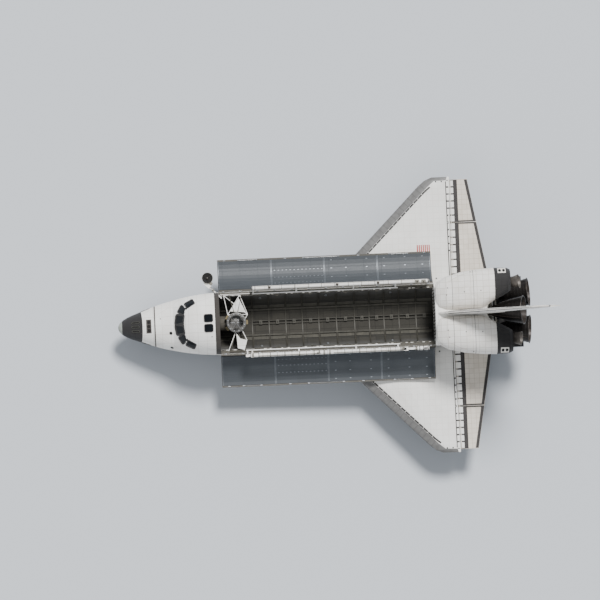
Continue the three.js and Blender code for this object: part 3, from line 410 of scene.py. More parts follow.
# Beige-white control surfaces with dark trailing edges.
ELEVON_TILES = Finish("beige_white_elevon_tile", "beige_tile", "#DED5C8", "#CFC5B7", 0.74,
                      cell_mm=(430, 430, 430), seam_mm=22, seam_colour="#B4AB9D", cell_spread=0.55,
                      zones=(Zone(BLACK_TILE, facing=Facing.DOWN, facing_above=0.12),))
# Reinforced carbon: a mid grey glassy skin with cloudy blotches.
CARBON = Finish("reinforced_carbon_skin", "carbon", "#706F6D", "#5E5C5A", 0.5,
                mottle_mm=420, mottle_share=0.8, grain_depth_mm=0.6)
# The nose cap weathers to a pale greenish grey.
NOSE_CARBON = Finish("weathered_carbon_cap", "carbon", "#A9ADA4", "#8F9389", 0.55,
                     mottle_mm=260, mottle_share=0.8, grain_depth_mm=0.6)
# Woven liner cloth in the bay: dark olive brown in its shade.
BAY_LINER = Finish("woven_bay_liner_cloth", "bay_liner", "#34312A", "#282620", 0.88,
                   cell_mm=(1475, 760, 760), seam_mm=36, seam_colour="#57534A", cell_spread=0.7,
                   grain_mm=40, grain_depth_mm=3.0, sheen=0.2)
# Anodised and primed aluminium: sills, frames and trusses.
STRUCTURE = Finish("primed_aluminium_frame", "structure", "#8E9087", "#7B7D75", 0.5,
                   metallic=0.35, mottle_mm=500, grain_depth_mm=0.4)
# Silvered film over aluminium radiators: slate grey with a soft sheen and lengthwise streaks.
RADIATOR = Finish("silvered_film_radiator", "radiator", "#3F4347", "#34383C", 0.5,
                  metallic=0.08, cell_mm=(1525, 900, 900), seam_mm=14, seam_colour="#8F949A",
                  seam_strength=0.2, cell_spread=0.3, mottle_mm=520, stretch=(0.1, 2.2, 2.2),
                  grain_mm=160, grain_depth_mm=0.8)
# Dark heat-stained nickel alloy of the nozzles, with a dull sheen; near black, partly as painted shade of the
# bells.
NOZZLE = Finish("heat_stained_nickel_and_painted_shade", "engine", "#2F2C2A", "#221F1E", 0.42,
                metallic=0.75, mottle_mm=340, mottle_share=0.7, grain_depth_mm=0.6)
# Machined and plated steel: struts, pins and rollers.
STEEL = Finish("satin_plated_steel", "steel", "#B9BBBD", "#9C9EA1", 0.36,
               metallic=0.85, mottle_mm=200, grain_depth_mm=0.3)
# White insulation on the arm and boom: taut wrapped cloth.
ARM_WRAP = Finish("white_glass_cloth_wrap", "blanket", "#F1EFEB", "#DEDAD3", 0.78,
                  cell_mm=(1270, 500, 500), seam_mm=26, seam_colour="#ABA69D", grain_mm=35,
                  grain_depth_mm=2.0, sheen=0.15)
# Painted cabin metal, grey green.
CABIN = Finish("grey_painted_cabin_panel", "cabin", "#7C827C", "#6B716C", 0.6,
               cell_mm=(240, 240, 240), seam_mm=10, seam_colour="#3F4340", cell_spread=0.5,
               mottle_mm=300)
# Vulcanised rubber, dusty black.
TYRE = Finish("vulcanised_rubber_tyre", "tyre", "#232323", "#2F2E2D", 0.8,
              mottle_mm=120, grain_mm=18, grain_depth_mm=0.6)
# Black glass fibre and graphite, for bands, seals and surrounds.
DARK_TRIM = Finish("black_seal_and_surround", "black_tile", "#262424", "#302E2D", 0.62,
                   mottle_mm=240, grain_depth_mm=0.6)
# Graphite composite on the inner faces of the doors.
COMPOSITE = Finish("graphite_epoxy_panel", "structure", "#5F5C55", "#4D4A44", 0.55,
                   cell_mm=(1270, 640, 640), seam_mm=40, seam_colour="#86827A", seam_depth_mm=-10)
# Window glass over a dark cabin.
GLASS = Finish("fused_silica_window", "cabin", "#0B0E11", "#11161A", 0.12,
               ior=1.3, roughness_spread=0.02, grain_depth_mm=0.05)
# Gold-tinted insulating film.
FILM = Finish("gold_insulating_film", "blanket", "#8F8163", "#74674B", 0.34,
              metallic=0.7, mottle_mm=90, mottle_share=0.8, grain_mm=45, grain_depth_mm=5.0)
# Soot in the throats of thrusters and nozzles: black and quite matt.
SOOT = Finish("sooty_nozzle_throat", "black_tile", "#151413", "#1F1D1C", 0.9, mottle_mm=160,
              grain_depth_mm=0.4)
# White coated trim round openings, a little greyer than the blankets.
BODY_TRIM = Finish("white_coated_trim", "white_tile", "#DEDAD3", "#CBC6BD", 0.66, mottle_mm=300,
                   grain_depth_mm=0.5)
# Primed frames in the bay, pale green-grey paint on machined aluminium, drawn dark as painted shade of the
# bay.
SHADED_BAY_FRAME = Finish("bay_frame_painted_shade", "structure", "#403D35", "#33312B", 0.58, metallic=0.2,
                   mottle_mm=420, mottle_share=0.7, grain_depth_mm=0.5)
# White painted covers of the cable trays and the docking hatch.
TRAY = Finish("white_painted_cover", "structure", "#8B877C", "#706C62", 0.6, mottle_mm=350,
              mottle_share=0.7, cell_mm=(490, 300, 300), seam_mm=10, seam_colour="#6B675E",
              grain_depth_mm=0.5)
# Dark anodised aluminium of the docking ring.
RING_METAL = Finish("dark_anodised_ring", "structure", "#6E6C69", "#54524F", 0.4, metallic=0.7,
                    mottle_mm=180, mottle_share=0.8, grain_mm=30, grain_depth_mm=0.4)
# Bright bare edges of the radiator panels: satin aluminium under clear film.
PANEL_EDGE = Finish("bare_panel_edge", "radiator", "#8A8F94", "#777C81", 0.42, metallic=0.5,
                    mottle_mm=300, grain_depth_mm=0.3)
# Seals between the carbon panels: the same skin, darker and more worn.
SEAL_CARBON = Finish("carbon_edge_seal", "carbon", "#5E5D5B", "#4C4B49", 0.55, mottle_mm=260,
                     grain_depth_mm=0.4)
# Open joints and gap fillers between tiles: near black felt, quite matt.
TILE_JOINT = Finish("dark_gap_filler", "black_tile", "#33302F", "#413D3B", 0.8, mottle_mm=300,
                    grain_depth_mm=0.8)
# Painted stripes on the wing: a flat brick red.
RED_PAINT = Finish("flat_red_paint", "wing_tile", "#B9322E", "#A62B28", 0.7, mottle_mm=300,
                   grain_depth_mm=0.4)
# Pipes, pumps and rings of the engines: dark stained steel with brown heat colours, darker still as painted
# shade of the engines.
STEEL_DARK = Finish("heat_stained_steel_and_painted_shade", "engine", "#4A443F", "#332E2A", 0.4, metallic=0.8,
                    mottle_mm=170, mottle_share=0.8, grain_depth_mm=0.4)
# The inside of a bell: fine brazed tubes, sooty and warm in tone, and darker as painted shade inside the
# bell.
BELL_INSIDE = Finish("brazed_coolant_tubes", "engine", "#463D37", "#2D2723", 0.5, metallic=0.7,
                     mottle_mm=420, mottle_share=0.8, grain_depth_mm=0.5)
# Quilted heat shields round the engines: grey ceramic cloth.
SHIELD_CLOTH = Finish("quilted_ceramic_heat_shield", "blanket", "#B9B4A8", "#8F897C", 0.85,
                      cell_mm=(180, 180, 180), seam_mm=14, seam_colour="#6F695E", mottle_mm=350,
                      mottle_share=0.8, grain_mm=40, grain_depth_mm=2.5)
# Tiles scorched by the thrusters: dark grey brown.
HOT_TILE = Finish("scorched_thruster_tile", "black_tile", "#4A4541", "#3B3633", 0.75, mottle_mm=260,
                  mottle_share=0.7, grain_depth_mm=0.6)
# Weathered scoops of the forward thrusters: olive grey metal.
SCOOP = Finish("weathered_scoop_metal", "engine", "#4B4A43", "#3C3B37", 0.6, metallic=0.3, mottle_mm=200,
               mottle_share=0.7, grain_depth_mm=0.5)
# Sills of the bay: dark anodised beams.
SILL = Finish("dark_anodised_sill", "structure", "#57534A", "#45423B", 0.55, metallic=0.3,
              cell_mm=(735, 300, 300), seam_mm=14, seam_colour="#2E2C28", mottle_mm=500, grain_depth_mm=0.4)
# Covers of the cable trays and fittings in the bay, drawn dark as painted shade of the bay.
SHADED_BAY_TRAY = Finish("bay_cover_painted_shade", "structure", "#4E4B42", "#3F3D36", 0.6, metallic=0.1, mottle_mm=350,
                  mottle_share=0.7, cell_mm=(490, 300, 300), seam_mm=10, seam_colour="#2F2D28",
                  grain_depth_mm=0.5)
# Blankets round the docking module, drawn grey brown as painted shade.
SHADED_DRUM_BLANKET = Finish("drum_blanket_painted_shade", "blanket", "#4E4A42", "#3F3C35", 0.85, mottle_mm=420,
                      cell_mm=(420, 420, 420), seam_mm=16, seam_colour="#35322C", grain_mm=45,
                      grain_depth_mm=3.0)
# Columbium of the small bells: mid grey brown.
SMALL_BELL = Finish("coated_columbium_bell", "engine", "#6F6963", "#57524D", 0.5, metallic=0.6,
                    mottle_mm=300, mottle_share=0.8, grain_depth_mm=0.5)


# Meshes


class Surface:
    """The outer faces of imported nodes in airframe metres, for laying thin parts on."""

    def __init__(self, nodes: Nodes, *names: str) -> None:
        """Reads the nodes' meshes once.

        Args:
            nodes: the frame's nodes by name.
            *names: the nodes that carry the parts.
        """
        back = STANCE.matrix().inverted()
        corners: list[Vector] = []
        faces: list[list[int]] = []
        for name in names:
            mesh = nodes[name].data
            start = len(corners)
            corners += [back @ v.co for v in mesh.vertices]
            faces += [[start + i for i in polygon.vertices] for polygon in mesh.polygons]
        self.corners = corners
        self.faces = faces
        self.tree = BVHTree.FromPolygons(corners, faces)

    def move(self, frame: Matrix) -> None:
        """Moves the faces into another frame, such as that of a closed door."""
        self.corners = [frame @ corner for corner in self.corners]
        self.tree = BVHTree.FromPolygons(self.corners, self.faces)

    def hit(self, start: Vector, direction: Vector) -> tuple[Vector, Vector] | None:
        """The first place and normal that a straight line meets, or None.

        Args:
            start: where the line starts.
            direction: where it goes.

        Returns:
            The place and the normal that faces the start, or None.
        """
        place, normal, _, _ = self.tree.ray_cast(start, direction)
        if place is None:
            return None
        return place, (normal if normal.dot(direction) < 0 else -normal)

    def section(self, point: Place, direction: Place) -> list[list[Vector]]:
        """The lines where a plane cuts the surface.

        Args:
            point: a point of the plane.
            direction: the plane's normal.

        Returns:
            Each line as its points in order; a loop repeats its first point at the end.
        """
        form = bmesh.new()
        made = [form.verts.new(c) for c in self.corners]
        for face in self.faces:
            try:
                form.faces.new([made[i] for i in face])
            except ValueError:
                continue
        bmesh.ops.remove_doubles(form, verts=form.verts[:], dist=1e-4)
        cut = bmesh.ops.bisect_plane(form, geom=form.verts[:] + form.edges[:] + form.faces[:],
                                     plane_co=point, plane_no=direction)["geom_cut"]
        edges = dict.fromkeys(e for e in cut if isinstance(e, bmesh.types.BMEdge))
        lines = []
        while edges:
            edge, _ = edges.popitem()
            line = [edge.verts[0], edge.verts[1]]
            for end in (1, 0):
                while True:
                    tip = line[-1] if end else line[0]
                    following = next((e for e in tip.link_edges if e in edges), None)
                    if following is None:
                        break
                    del edges[following]
                    other = following.other_vert(tip)
                    line.insert(len(line) if end else 0, other)
            lines.append([v.co.copy() for v in line])
        form.free()
        return lines


def turns(count: int, first: float = 0.0) -> list[float]:
    """Even turns round a circle, in radians, from the first one on."""
    return [first + math.tau * k / count for k in range(count)]


def spoke(turn: float, reach: float = 1.0) -> Vector:
    """A step of the given length away from an axis along x, at a turn round it."""
    return Vector((0, math.cos(turn), math.sin(turn))) * reach


def rounded(half: Pair, radius: float, grow: float, count: int) -> list[Pair]:
    """A rounded rectangle's outline, grown or shrunk all round.

    Args:
        half: half its width and half its height.
        radius: the radius of its corners.
        grow: how far the outline is moved outward.
        count: how many points each corner takes.

    Returns:
        The points in order.
    """
    wide, tall = (max(side + grow, 0.004) for side in half)
    bend = min(max(radius + grow, 0.003), wide, tall)
    points = []
    for corner, (right, up) in enumerate(((1, 1), (-1, 1), (-1, -1), (1, -1))):
        for k in range(count):
            turn = math.pi / 2 * (corner + k / max(count - 1, 1))
            points.append((right * (wide - bend) + bend * math.cos(turn),
                           up * (tall - bend) + bend * math.sin(turn)))
    return points


class Spot:
    """A place on a surface, with a gentle curve fitted to the surface round it."""

    def __init__(self, surface: Surface, centre: Place, aim: Place, up: Place,
                 half: Pair, radius: float = 0.0, open_inside: bool = False) -> None:
        """Fits the curve to the surface.

        Args:
            surface: what the place is on.
            centre: a point near the surface.
            aim: the direction into the surface.
            up: the direction that counts as up on it.
            half: half the width and half the height of what goes there.
            radius: the radius of its corners.
            open_inside: fits the curve only to what lies round an opening.
        """
        self.aim = Vector(aim).normalized()
        self.up = (Vector(up) - self.aim * self.aim.dot(Vector(up))).normalized()
        self.right = self.aim.cross(self.up)
        self.centre = Vector(centre)
        self.half = half
        self.radius = radius
        found = []
        for i in range(-4, 5):
            for j in range(-4, 5):
                if open_inside and max(abs(i), abs(j)) < 4:
                    continue
                u, v = i / 4 * (half[0] + 0.08), j / 4 * (half[1] + 0.08)
                met = surface.hit(self.at(u, v, 1.5, flat=True), self.aim)
                if met is not None:
                    found.append((u, v, (met[0] - self.centre).dot(self.aim)))
        depths = sorted(depth for _, _, depth in found)
        usual = depths[len(depths) // 3]
        kept = [row for row in found if abs(row[2] - usual) < 0.25]
        terms = numpy.array([self._terms(u, v) for u, v, _ in kept])
        self.curve = numpy.linalg.lstsq(terms, numpy.array([row[2] for row in kept]), rcond=None)[0]

    @staticmethod
    def _terms(u: float, v: float) -> tuple[float, ...]:
        """The terms of the fitted curve at a place."""
        return (1.0, u, v, u * u, u * v, v * v)

    def at(self, u: float, v: float, lift: float = 0.0, flat: bool = False) -> Vector:
        """A point beside the centre, lifted off the fitted curve or off the flat plane there."""
        depth = 0.0 if flat else float(numpy.dot(self.curve, self._terms(u, v)))
        return self.centre + self.right * u + self.up * v + self.aim * (depth - lift)


class Form:
    """One piece's mesh, built up in airframe metres."""

    def __init__(self) -> None:
        """Starts an empty mesh."""
        self.mesh = bmesh.new()

    def _close(self, made: list[bmesh.types.BMVert]) -> None:
        """Turns the faces of a new closed shell outward."""
        faces = list(dict.fromkeys(f for v in made for f in v.link_faces))
        bmesh.ops.recalc_face_normals(self.mesh, faces=faces)

    def rings(self, rings: Sequence[Sequence[Vector]], capped: bool = True) -> "Form":
        """Skins rings of equal count into a shell.

        Args:
            rings: each ring's points in order.
            capped: closes the first and last ring, else joins last to first.

        Returns:
            This form.
        """
        made = [[self.mesh.verts.new(p) for p in ring] for ring in rings]
        count = len(made[0])
        pairs = list(zip(made, made[1:]))
        if not capped:
            pairs.append((made[-1], made[0]))
        for one, two in pairs:
            for i in range(count):
                j = (i + 1) % count
                self.mesh.faces.new((one[i], one[j], two[j], two[i]))
        if capped:
            self.mesh.faces.new(made[0])
            self.mesh.faces.new(made[-1])
        self._close([v for ring in made for v in ring])
        return self

    def tube(self, path: Sequence[Place], radius: float | Sequence[float], sides: int = 10) -> "Form":
        """A round bar along a line of points, with one radius or one for each point.

        Args:
            path: the points in order.
            radius: the radius, or one for each point.
            sides: how many flats stand for the circle.

        Returns:
            This form.
        """
        line = [Vector(p) for p in path]
        radii = [radius] * len(line) if isinstance(radius, (int, float)) else list(radius)
        last = len(line) - 1
        aims = [(line[min(i + 1, last)] - line[max(i - 1, 0)]).normalized() for i in range(len(line))]
        across = aims[0].orthogonal().normalized()
        rings = []
        for place, aim, reach in zip(line, aims, radii):
            across = (across - aim * across.dot(aim)).normalized()
            other = aim.cross(across)
            rings.append([place + (across * math.cos(t) + other * math.sin(t)) * reach for t in turns(sides)])
        return self.rings(rings)

    def turned(self, profile: Sequence[Pair], base: Place,
               aim: Place, sides: int = 32) -> "Form":
        """A turned part.

        Args:
            profile: a closed line of (distance along the aim, radius) points.
            base: where distance zero lies.
            aim: the direction of the turning axis.
            sides: how many flats stand for the circle.

        Returns:
            This form.
        """
        axis = Vector(aim).normalized()
        across = axis.orthogonal().normalized()
        other = axis.cross(across)
        start = Vector(base)
        rings = []
        for turn in turns(sides):
            out = across * math.cos(turn) + other * math.sin(turn)
            rings.append([start + axis * along + out * max(reach, 0.0005) for along, reach in profile])
        return self.rings(rings, capped=False)

    def pin(self, base: Place, aim: Place, half: float, radius: float, sides: int) -> "Form":
        """A plain round pin, with half its length on either side of its base."""
        return self.turned(((-half, 0.0), (-half, radius), (half, radius), (half, 0.0)), base, aim, sides)

    def collar(self, base: Place, half: float, inner: float, outer: float, crown: float,
               sides: int) -> "Form":
        """A crowned collar round an upright leg, with half its width on either side of its base."""
        profile = ((-half, inner), (-half, outer), (0.0, crown), (half, outer), (half, inner))
        return self.turned(profile, base, UP, sides)

    def slab(self, outline: Sequence[Place], thickness: Place, soften: float = 0.0) -> "Form":
        """A plate from a flat outline, pushed along a direction, with softened edges if asked.

        Args:
            outline: the corners of one face in order.
            thickness: the step from that face to the other.
            soften: the width of the edges' bevel, or zero.

        Returns:
            This form.
        """
        step = Vector(thickness)
        low = [self.mesh.verts.new(Vector(p)) for p in outline]
        high = [self.mesh.verts.new(v.co + step) for v in low]
        count = len(low)
        self.mesh.faces.new(low)
        self.mesh.faces.new(high)
        for i in range(count):
            j = (i + 1) % count
            self.mesh.faces.new((low[i], low[j], high[j], high[i]))
        self._close(low + high)
        if soften:
            edges = list(dict.fromkeys(e for v in low + high for e in v.link_edges))
            bmesh.ops.bevel(self.mesh, geom=edges, offset=soften, segments=2, affect="EDGES",
                            clamp_overlap=True)
        return self

    def block(self, low: Place, high: Place, soften: float = 0.01) -> "Form":
        """A box between two corners, with softened edges.

        Args:
            low: the corner with the lowest values.
            high: the corner with the highest.
            soften: the width of the edges' bevel.

        Returns:
            This form.
        """
        (x0, y0, z0), (x1, y1, z1) = low, high
        outline = [(x0, y0, z0), (x1, y0, z0), (x1, y1, z0), (x0, y1, z0)]
        return self.slab(outline, (0, 0, z1 - z0), soften)

    def laid(self, surface: Surface, outline: Sequence[Place], toward: Place,
             proud: float = 0.012, sunk: float = 0.02, step: float = 0.25) -> "Form":
        """A thin plate that follows a surface under a flat outline.

        Args:
            surface: what it lies on.
            outline: the corners of the outline, off the surface.
            toward: the direction from the outline to the surface.
            proud: how far the plate stands out.
            sunk: how far its underside lies in the surface.
            step: the width of its facets.

        Returns:
            This form.
        """
        aim = Vector(toward).normalized()
        patch = bmesh.new()
        patch.faces.new([patch.verts.new(Vector(p)) for p in outline])
        for axis in range(3):
            cut = Vector([1.0 if i == axis else 0.0 for i in range(3)])
            if abs(cut.dot(aim)) > 0.7:
                continue
            spread = [v.co[axis] for v in patch.verts]
            place = math.floor(min(spread) / step) * step + step
            while place < max(spread) - 1e-6:
                bmesh.ops.bisect_plane(patch, geom=patch.verts[:] + patch.edges[:] + patch.faces[:],
                                       plane_co=cut * place, plane_no=cut)
                place += step
        found = {v: surface.hit(v.co, aim) for v in patch.verts}
        kept = [f for f in patch.faces if all(found[v] for v in f.verts)]
        corners = list(dict.fromkeys(v for f in kept for v in f.verts))
        top = {v: self.mesh.verts.new(found[v][0] + found[v][1] * proud) for v in corners}
        low = {v: self.mesh.verts.new(found[v][0] - found[v][1] * sunk) for v in corners}
        rim: dict[tuple, int] = {}
        for face in kept:
            ring = list(face.verts)
            self.mesh.faces.new([top[v] for v in ring])
            self.mesh.faces.new([low[v] for v in reversed(ring)])
            for a, b in zip(ring, ring[1:] + ring[:1]):
                if (b, a) in rim:
                    rim.pop((b, a))
                else:
                    rim[(a, b)] = 1
        for a, b in rim:
            self.mesh.faces.new((top[b], top[a], low[a], low[b]))
        self._close(list(top.values()) + list(low.values()))
        patch.free()
        return self

    def strap(self, line: Sequence[Vector], plane: Place, inside: Vector, width: float,
              proud: float = 0.012, sunk: float = 0.01) -> "Form":
        """A flat strap along a line that a plane cuts from a surface.

        Args:
            line: the points in order; a loop repeats its first point.
            plane: the cutting plane's normal.
            inside: a point that the strap bends round.
            width: the strap's width.
            proud: how far it stands out.
            sunk: how far its underside lies in the surface.

        Returns:
            This form.
        """
        normal = Vector(plane).normalized()
        loop = (line[0] - line[-1]).length < 1e-4
        points = list(line[:-1]) if loop else list(line)
        count = len(points)
        if count < 3:
            return self
        rings = []
        for i, place in enumerate(points):
            before = points[(i - 1) % count] if loop or i else place
            after = points[(i + 1) % count] if loop or i < count - 1 else place
            out = (after - before).cross(normal)
            if out.length < 1e-7:
                out = place - inside
            out = out.normalized()
            if out.dot(place - inside) < 0:
                out = -out
            half = normal * (width / 2)
            rings.append([place - out * sunk - half, place - out * sunk + half,
                          place + out * proud + half, place + out * proud - half])
        return self.rings(rings, capped=not loop)

    def hoops(self, surface: Surface, point: Point, plane: Point, width: float, proud: float) -> "Form":
        """A strap round every loop that a plane through a point cuts from a surface.

        Args:
            surface: what is cut.
            point: a point of the plane.
            plane: the plane's normal.
            width: the straps' width.
            proud: how far they stand out.

        Returns:
            This form.
        """
        for line in surface.section(point, plane):
            self.strap(line, plane, sum(line[:-1], Vector()) / (len(line) - 1), width, proud)
        return self

    def both(self, name: str, finish: Finish, body: str, frame: Matrix | None = None,
             smooth_deg: float = 35.0) -> None:
        """Makes the piece on starboard and its mirror image on port, each on its own side's body.

        Args:
            name: the piece's name without its side.
            finish: what it is made of.
            body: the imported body's name without its side.
            frame: a move from the piece's own frame to the airframe, or None.
            smooth_deg: edges bent by more than this stay sharp.
        """
        if frame is not None:
            self.mesh.transform(frame)
        port = Form()
        port.mesh.free()
        port.mesh = self.mesh.copy()
        port.mesh.transform(Matrix.Scale(-1, 4, STARBOARD))
        bmesh.ops.reverse_faces(port.mesh, faces=port.mesh.faces[:])
        for form, hand in ((self, "right"), (port, "left")):
            form.done(f"{name}_{hand}", finish, f"{body}_{hand}", smooth_deg=smooth_deg)

    def pressed(self, spot: Spot, profile: Sequence[Pair], hollow: bool = False,
                corner_points: int = 5) -> "Form":
        """A pad or a rim that follows a curved surface.

        Args:
            spot: the place, with the outline's size.
            profile: steps of (growth of the outline, lift off the surface).
            hollow: joins the last step to the first, as a rim does.
            corner_points: how many points each corner takes.

        Returns:
            This form.
        """
        rings = [[spot.at(u, v, lift) for u, v in rounded(spot.half, spot.radius, grow, corner_points)]
                 for grow, lift in profile]
        return self.rings(rings, capped=not hollow)

    def done(self, name: str, finish: Finish, body: str = "airframe", mirrored: bool = False,
             smooth_deg: float = 35.0) -> bpy.types.Object:
        """Makes the object, in the row frame, riding its body.

        Args:
            name: the piece's name.
            finish: what it is made of.
            body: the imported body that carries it.
            mirrored: adds the same shape on the other side of the airframe.
            smooth_deg: edges bent by more than this stay sharp.

        Returns:
            The new object.
        """
        if mirrored:
            copied = bmesh.ops.duplicate(self.mesh, geom=self.mesh.faces[:] + self.mesh.edges[:]
                                         + self.mesh.verts[:])["geom"]
            for part in copied:
                if isinstance(part, bmesh.types.BMVert):
                    part.co.y = -part.co.y
            bmesh.ops.reverse_faces(self.mesh, faces=[f for f in copied if isinstance(f, bmesh.types.BMFace)])
        self.mesh.transform(STANCE.matrix())
        mesh = bpy.data.meshes.new(name)
        self.mesh.to_mesh(mesh)
        self.mesh.free()
        mesh.shade_smooth()
        mesh.set_sharp_from_angle(angle=math.radians(smooth_deg))
        made = bpy.data.objects.new(name, mesh)
        bpy.context.scene.collection.objects.link(made)
        mesh.materials.append(finish.material())
        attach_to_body(made, body)
        LOG.info("%s: %d faces on %s", name, len(mesh.polygons), body)
        return made


# The studio


@dataclass(frozen=True)
class Studio:
    """The camera at the photograph's angle, the floor and the soft lights."""

    aim: Point = (-2.579, 1.726, 5.0)
    distance: float = 398.5
    frame_width: float = 51.485
    right: Point = (0.99542621, -0.04360673, 0.08500071)
    up: Point = (0.04074119, 0.99855089, 0.03516075)
    sensor_mm: float = 36.0
    floor_size: float = 900.0
    floor_colour: str = "#C3C7CC"
    sky_colour: str = "#DDE3EA"
    sky_strength: float = 0.62

    def build(self) -> None:
        """Makes the camera, the floor, the sky and the lamps."""
        self._camera()
        self._floor()
        self._lamps()

    def _camera(self) -> None:
        """A far camera with a long lens, as the photograph was taken."""
        right = Vector(self.right).normalized()
        up = Vector(self.up)
        up = (up - right * up.dot(right)).normalized()
        back = right.cross(up)
        data = bpy.data.cameras.new("camera")
        data.sensor_width = self.sensor_mm
        data.lens = self.sensor_mm * self.distance / self.frame_width
        data.clip_start = 1.0
        data.clip_end = 2000.0
        camera = bpy.data.objects.new("camera", data)
        turn = Matrix((right, up, back)).transposed().to_4x4()
        camera.matrix_world = Matrix.Translation(Vector(self.aim) + back * self.distance) @ turn
        bpy.context.scene.collection.objects.link(camera)
        bpy.context.scene.camera = camera

    def _floor(self) -> None:
        """A wide pale floor under the wheels."""
        half = self.floor_size / 2
        mesh = bpy.data.meshes.new("floor")
        mesh.from_pydata([(-half, -half, 0), (half, -half, 0), (half, half, 0), (-half, half, 0)], [],
                         [(0, 1, 2, 3)])
        floor = bpy.data.objects.new("floor", mesh)
        bpy.context.scene.collection.objects.link(floor)
        made = bpy.data.materials.new("floor")
        made.use_nodes = True
        shader = made.node_tree.nodes["Principled BSDF"]
        shader.inputs["Base Color"].default_value = linear(self.floor_colour)
        shader.inputs["Roughness"].default_value = 0.9
        mesh.materials.append(made)

    def _lamps(self) -> None:
        """A pale sky, a broad key lamp from starboard and a low fill from port."""
        world = bpy.data.worlds.new("sky")
        world.use_nodes = True
        background = world.node_tree.nodes["Background"]
        background.inputs[0].default_value = linear(self.sky_colour)
        background.inputs[1].default_value = self.sky_strength
        bpy.context.scene.world = world
        self._sun("key_lamp", (-0.16, -0.62, -1.0), 4.9, 14.0)
        self._sun("fill_lamp", (0.5, 0.8, -0.7), 0.55, 50.0)

    @staticmethod
    def _sun(name: str, aim: Point, strength: float, spread_deg: float) -> None:
        """A far lamp with soft shadows that shines along a direction.

        Args:
            name: the lamp's name.
            aim: the direction it shines in.
            strength: its strength.
            spread_deg: how wide it looks, for soft shadows.
        """
        data = bpy.data.lights.new(name, "SUN")
        data.energy = strength
        data.angle = math.radians(spread_deg)
        lamp = bpy.data.objects.new(name, data)
        lamp.rotation_euler = Vector(aim).to_track_quat("-Z", "Y").to_euler()
        bpy.context.scene.collection.objects.link(lamp)


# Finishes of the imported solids

SIDE_NAMES = {1: "starboard", -1: "port"}

NODE_FINISHES: dict[str, Finish] = {
    "nose_cap": NOSE_CARBON, "forward_thruster_module": BODY_BLANKETS, "forward_fuselage": BODY_BLANKETS,
    "side_hatch": BODY_BLANKETS, "flight_deck": CABIN, "instrument_panel": CABIN,
    "mid_fuselage": BODY_BLANKETS, "sill_longeron": SILL, "docking_module": SHADED_DRUM_BLANKET,
    "wing_leading_edge": CARBON, "wing": WING_TILES, "elevon_inner": ELEVON_TILES,
    "elevon_outer": ELEVON_TILES, "aft_fuselage": BODY_BLANKETS, "rear_pod": POD_SKIN,
    "body_flap": BLACK_TILES, "fin": PLAIN_BLANKETS, "rudder_shaft": STEEL, "rudder_panel": PLAIN_BLANKETS,
    "engine_swivel": NOZZLE, "engine_bell": NOZZLE, "small_engine_bell": SMALL_BELL,
    "payload_door": DOOR_SKIN, "radiator_forward": RADIATOR, "radiator_aft": RADIATOR,
    "arm_cradle": ARM_WRAP, "arm": ARM_WRAP, "sensor_boom": ARM_WRAP, "dish_antenna": ARM_WRAP,
    "nose_gear_leg": STEEL, "nose_gear_fork": STEEL, "nose_wheels": TYRE, "nose_gear_door": BLACK_TILES,
    "main_gear_leg": STEEL, "main_wheels": TYRE, "main_gear_door": BLACK_TILES,
}


def finish_of(name: str) -> Finish:
    """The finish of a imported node, by the longest name in the table that starts its own."""
    known = [key for key in NODE_FINISHES if name.startswith(key)]
    return NODE_FINISHES[max(known, key=len)]


def dress_nodes(nodes: Nodes) -> None:
    """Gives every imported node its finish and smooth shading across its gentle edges.

    Args:
        nodes: the frame's nodes by name.
    """
    for name, part in nodes.items():
        mesh = part.data
        mesh.materials.clear()
        mesh.materials.append(finish_of(name).material())
        mesh.shade_smooth()
        mesh.set_sharp_from_angle(angle=math.radians(30))
        LOG.info("%s: %s", name, finish_of(name).name)


# Sub-assemblies


def pad(lift: float, sunk: float = -0.02, edge: float = 0.004) -> tuple[Pair, ...]:
    """The steps of a thin pad with a softened edge: over its top, down its side and under it."""
    return ((-9.0, lift), (-0.12, lift), (-edge, lift), (0.0, lift - edge), (0.0, sunk), (-9.0, sunk))


def rim(width: float, lift: float, sunk: float = -0.02) -> tuple[Pair, ...]:
    """The steps of a rim round an outline, softened on both edges.

    Args:
        width: how wide the rim is.
        lift: how far it stands out.
        sunk: how far its foot lies in the surface, below zero.

    Returns:
        Steps of (growth of the outline, lift off the surface).
    """
    edge = min(width, lift + 0.02) * 0.25
    return ((0.0, sunk), (0.0, lift - edge), (edge, lift), (width - edge, lift), (width, lift - edge),
            (width, sunk))


def disc(centre: Place, aim: Place, radius: float) -> list[Vector]:
    """The corners of a round outline.

    Args:
        centre: its middle.
        aim: the direction square to it.
        radius: its radius.

    Returns:
        Eighteen corners in order.
    """
    inward = Vector(aim).normalized()
    side = inward.cross(Vector(AFT)).normalized()
    along = side.cross(inward)
    return [Vector(centre) + (along * math.cos(turn) + side * math.sin(turn)) * radius for turn in turns(18)]


def quad(middle: Place, along: Place, across: Place) -> list[Vector]:
    """The corners of a four-sided outline, from its middle, half its length and half its width."""
    return [Vector(middle) + Vector(along) * a + Vector(across) * b
            for a, b in ((-1, -1), (1, -1), (1, 1), (-1, 1))]


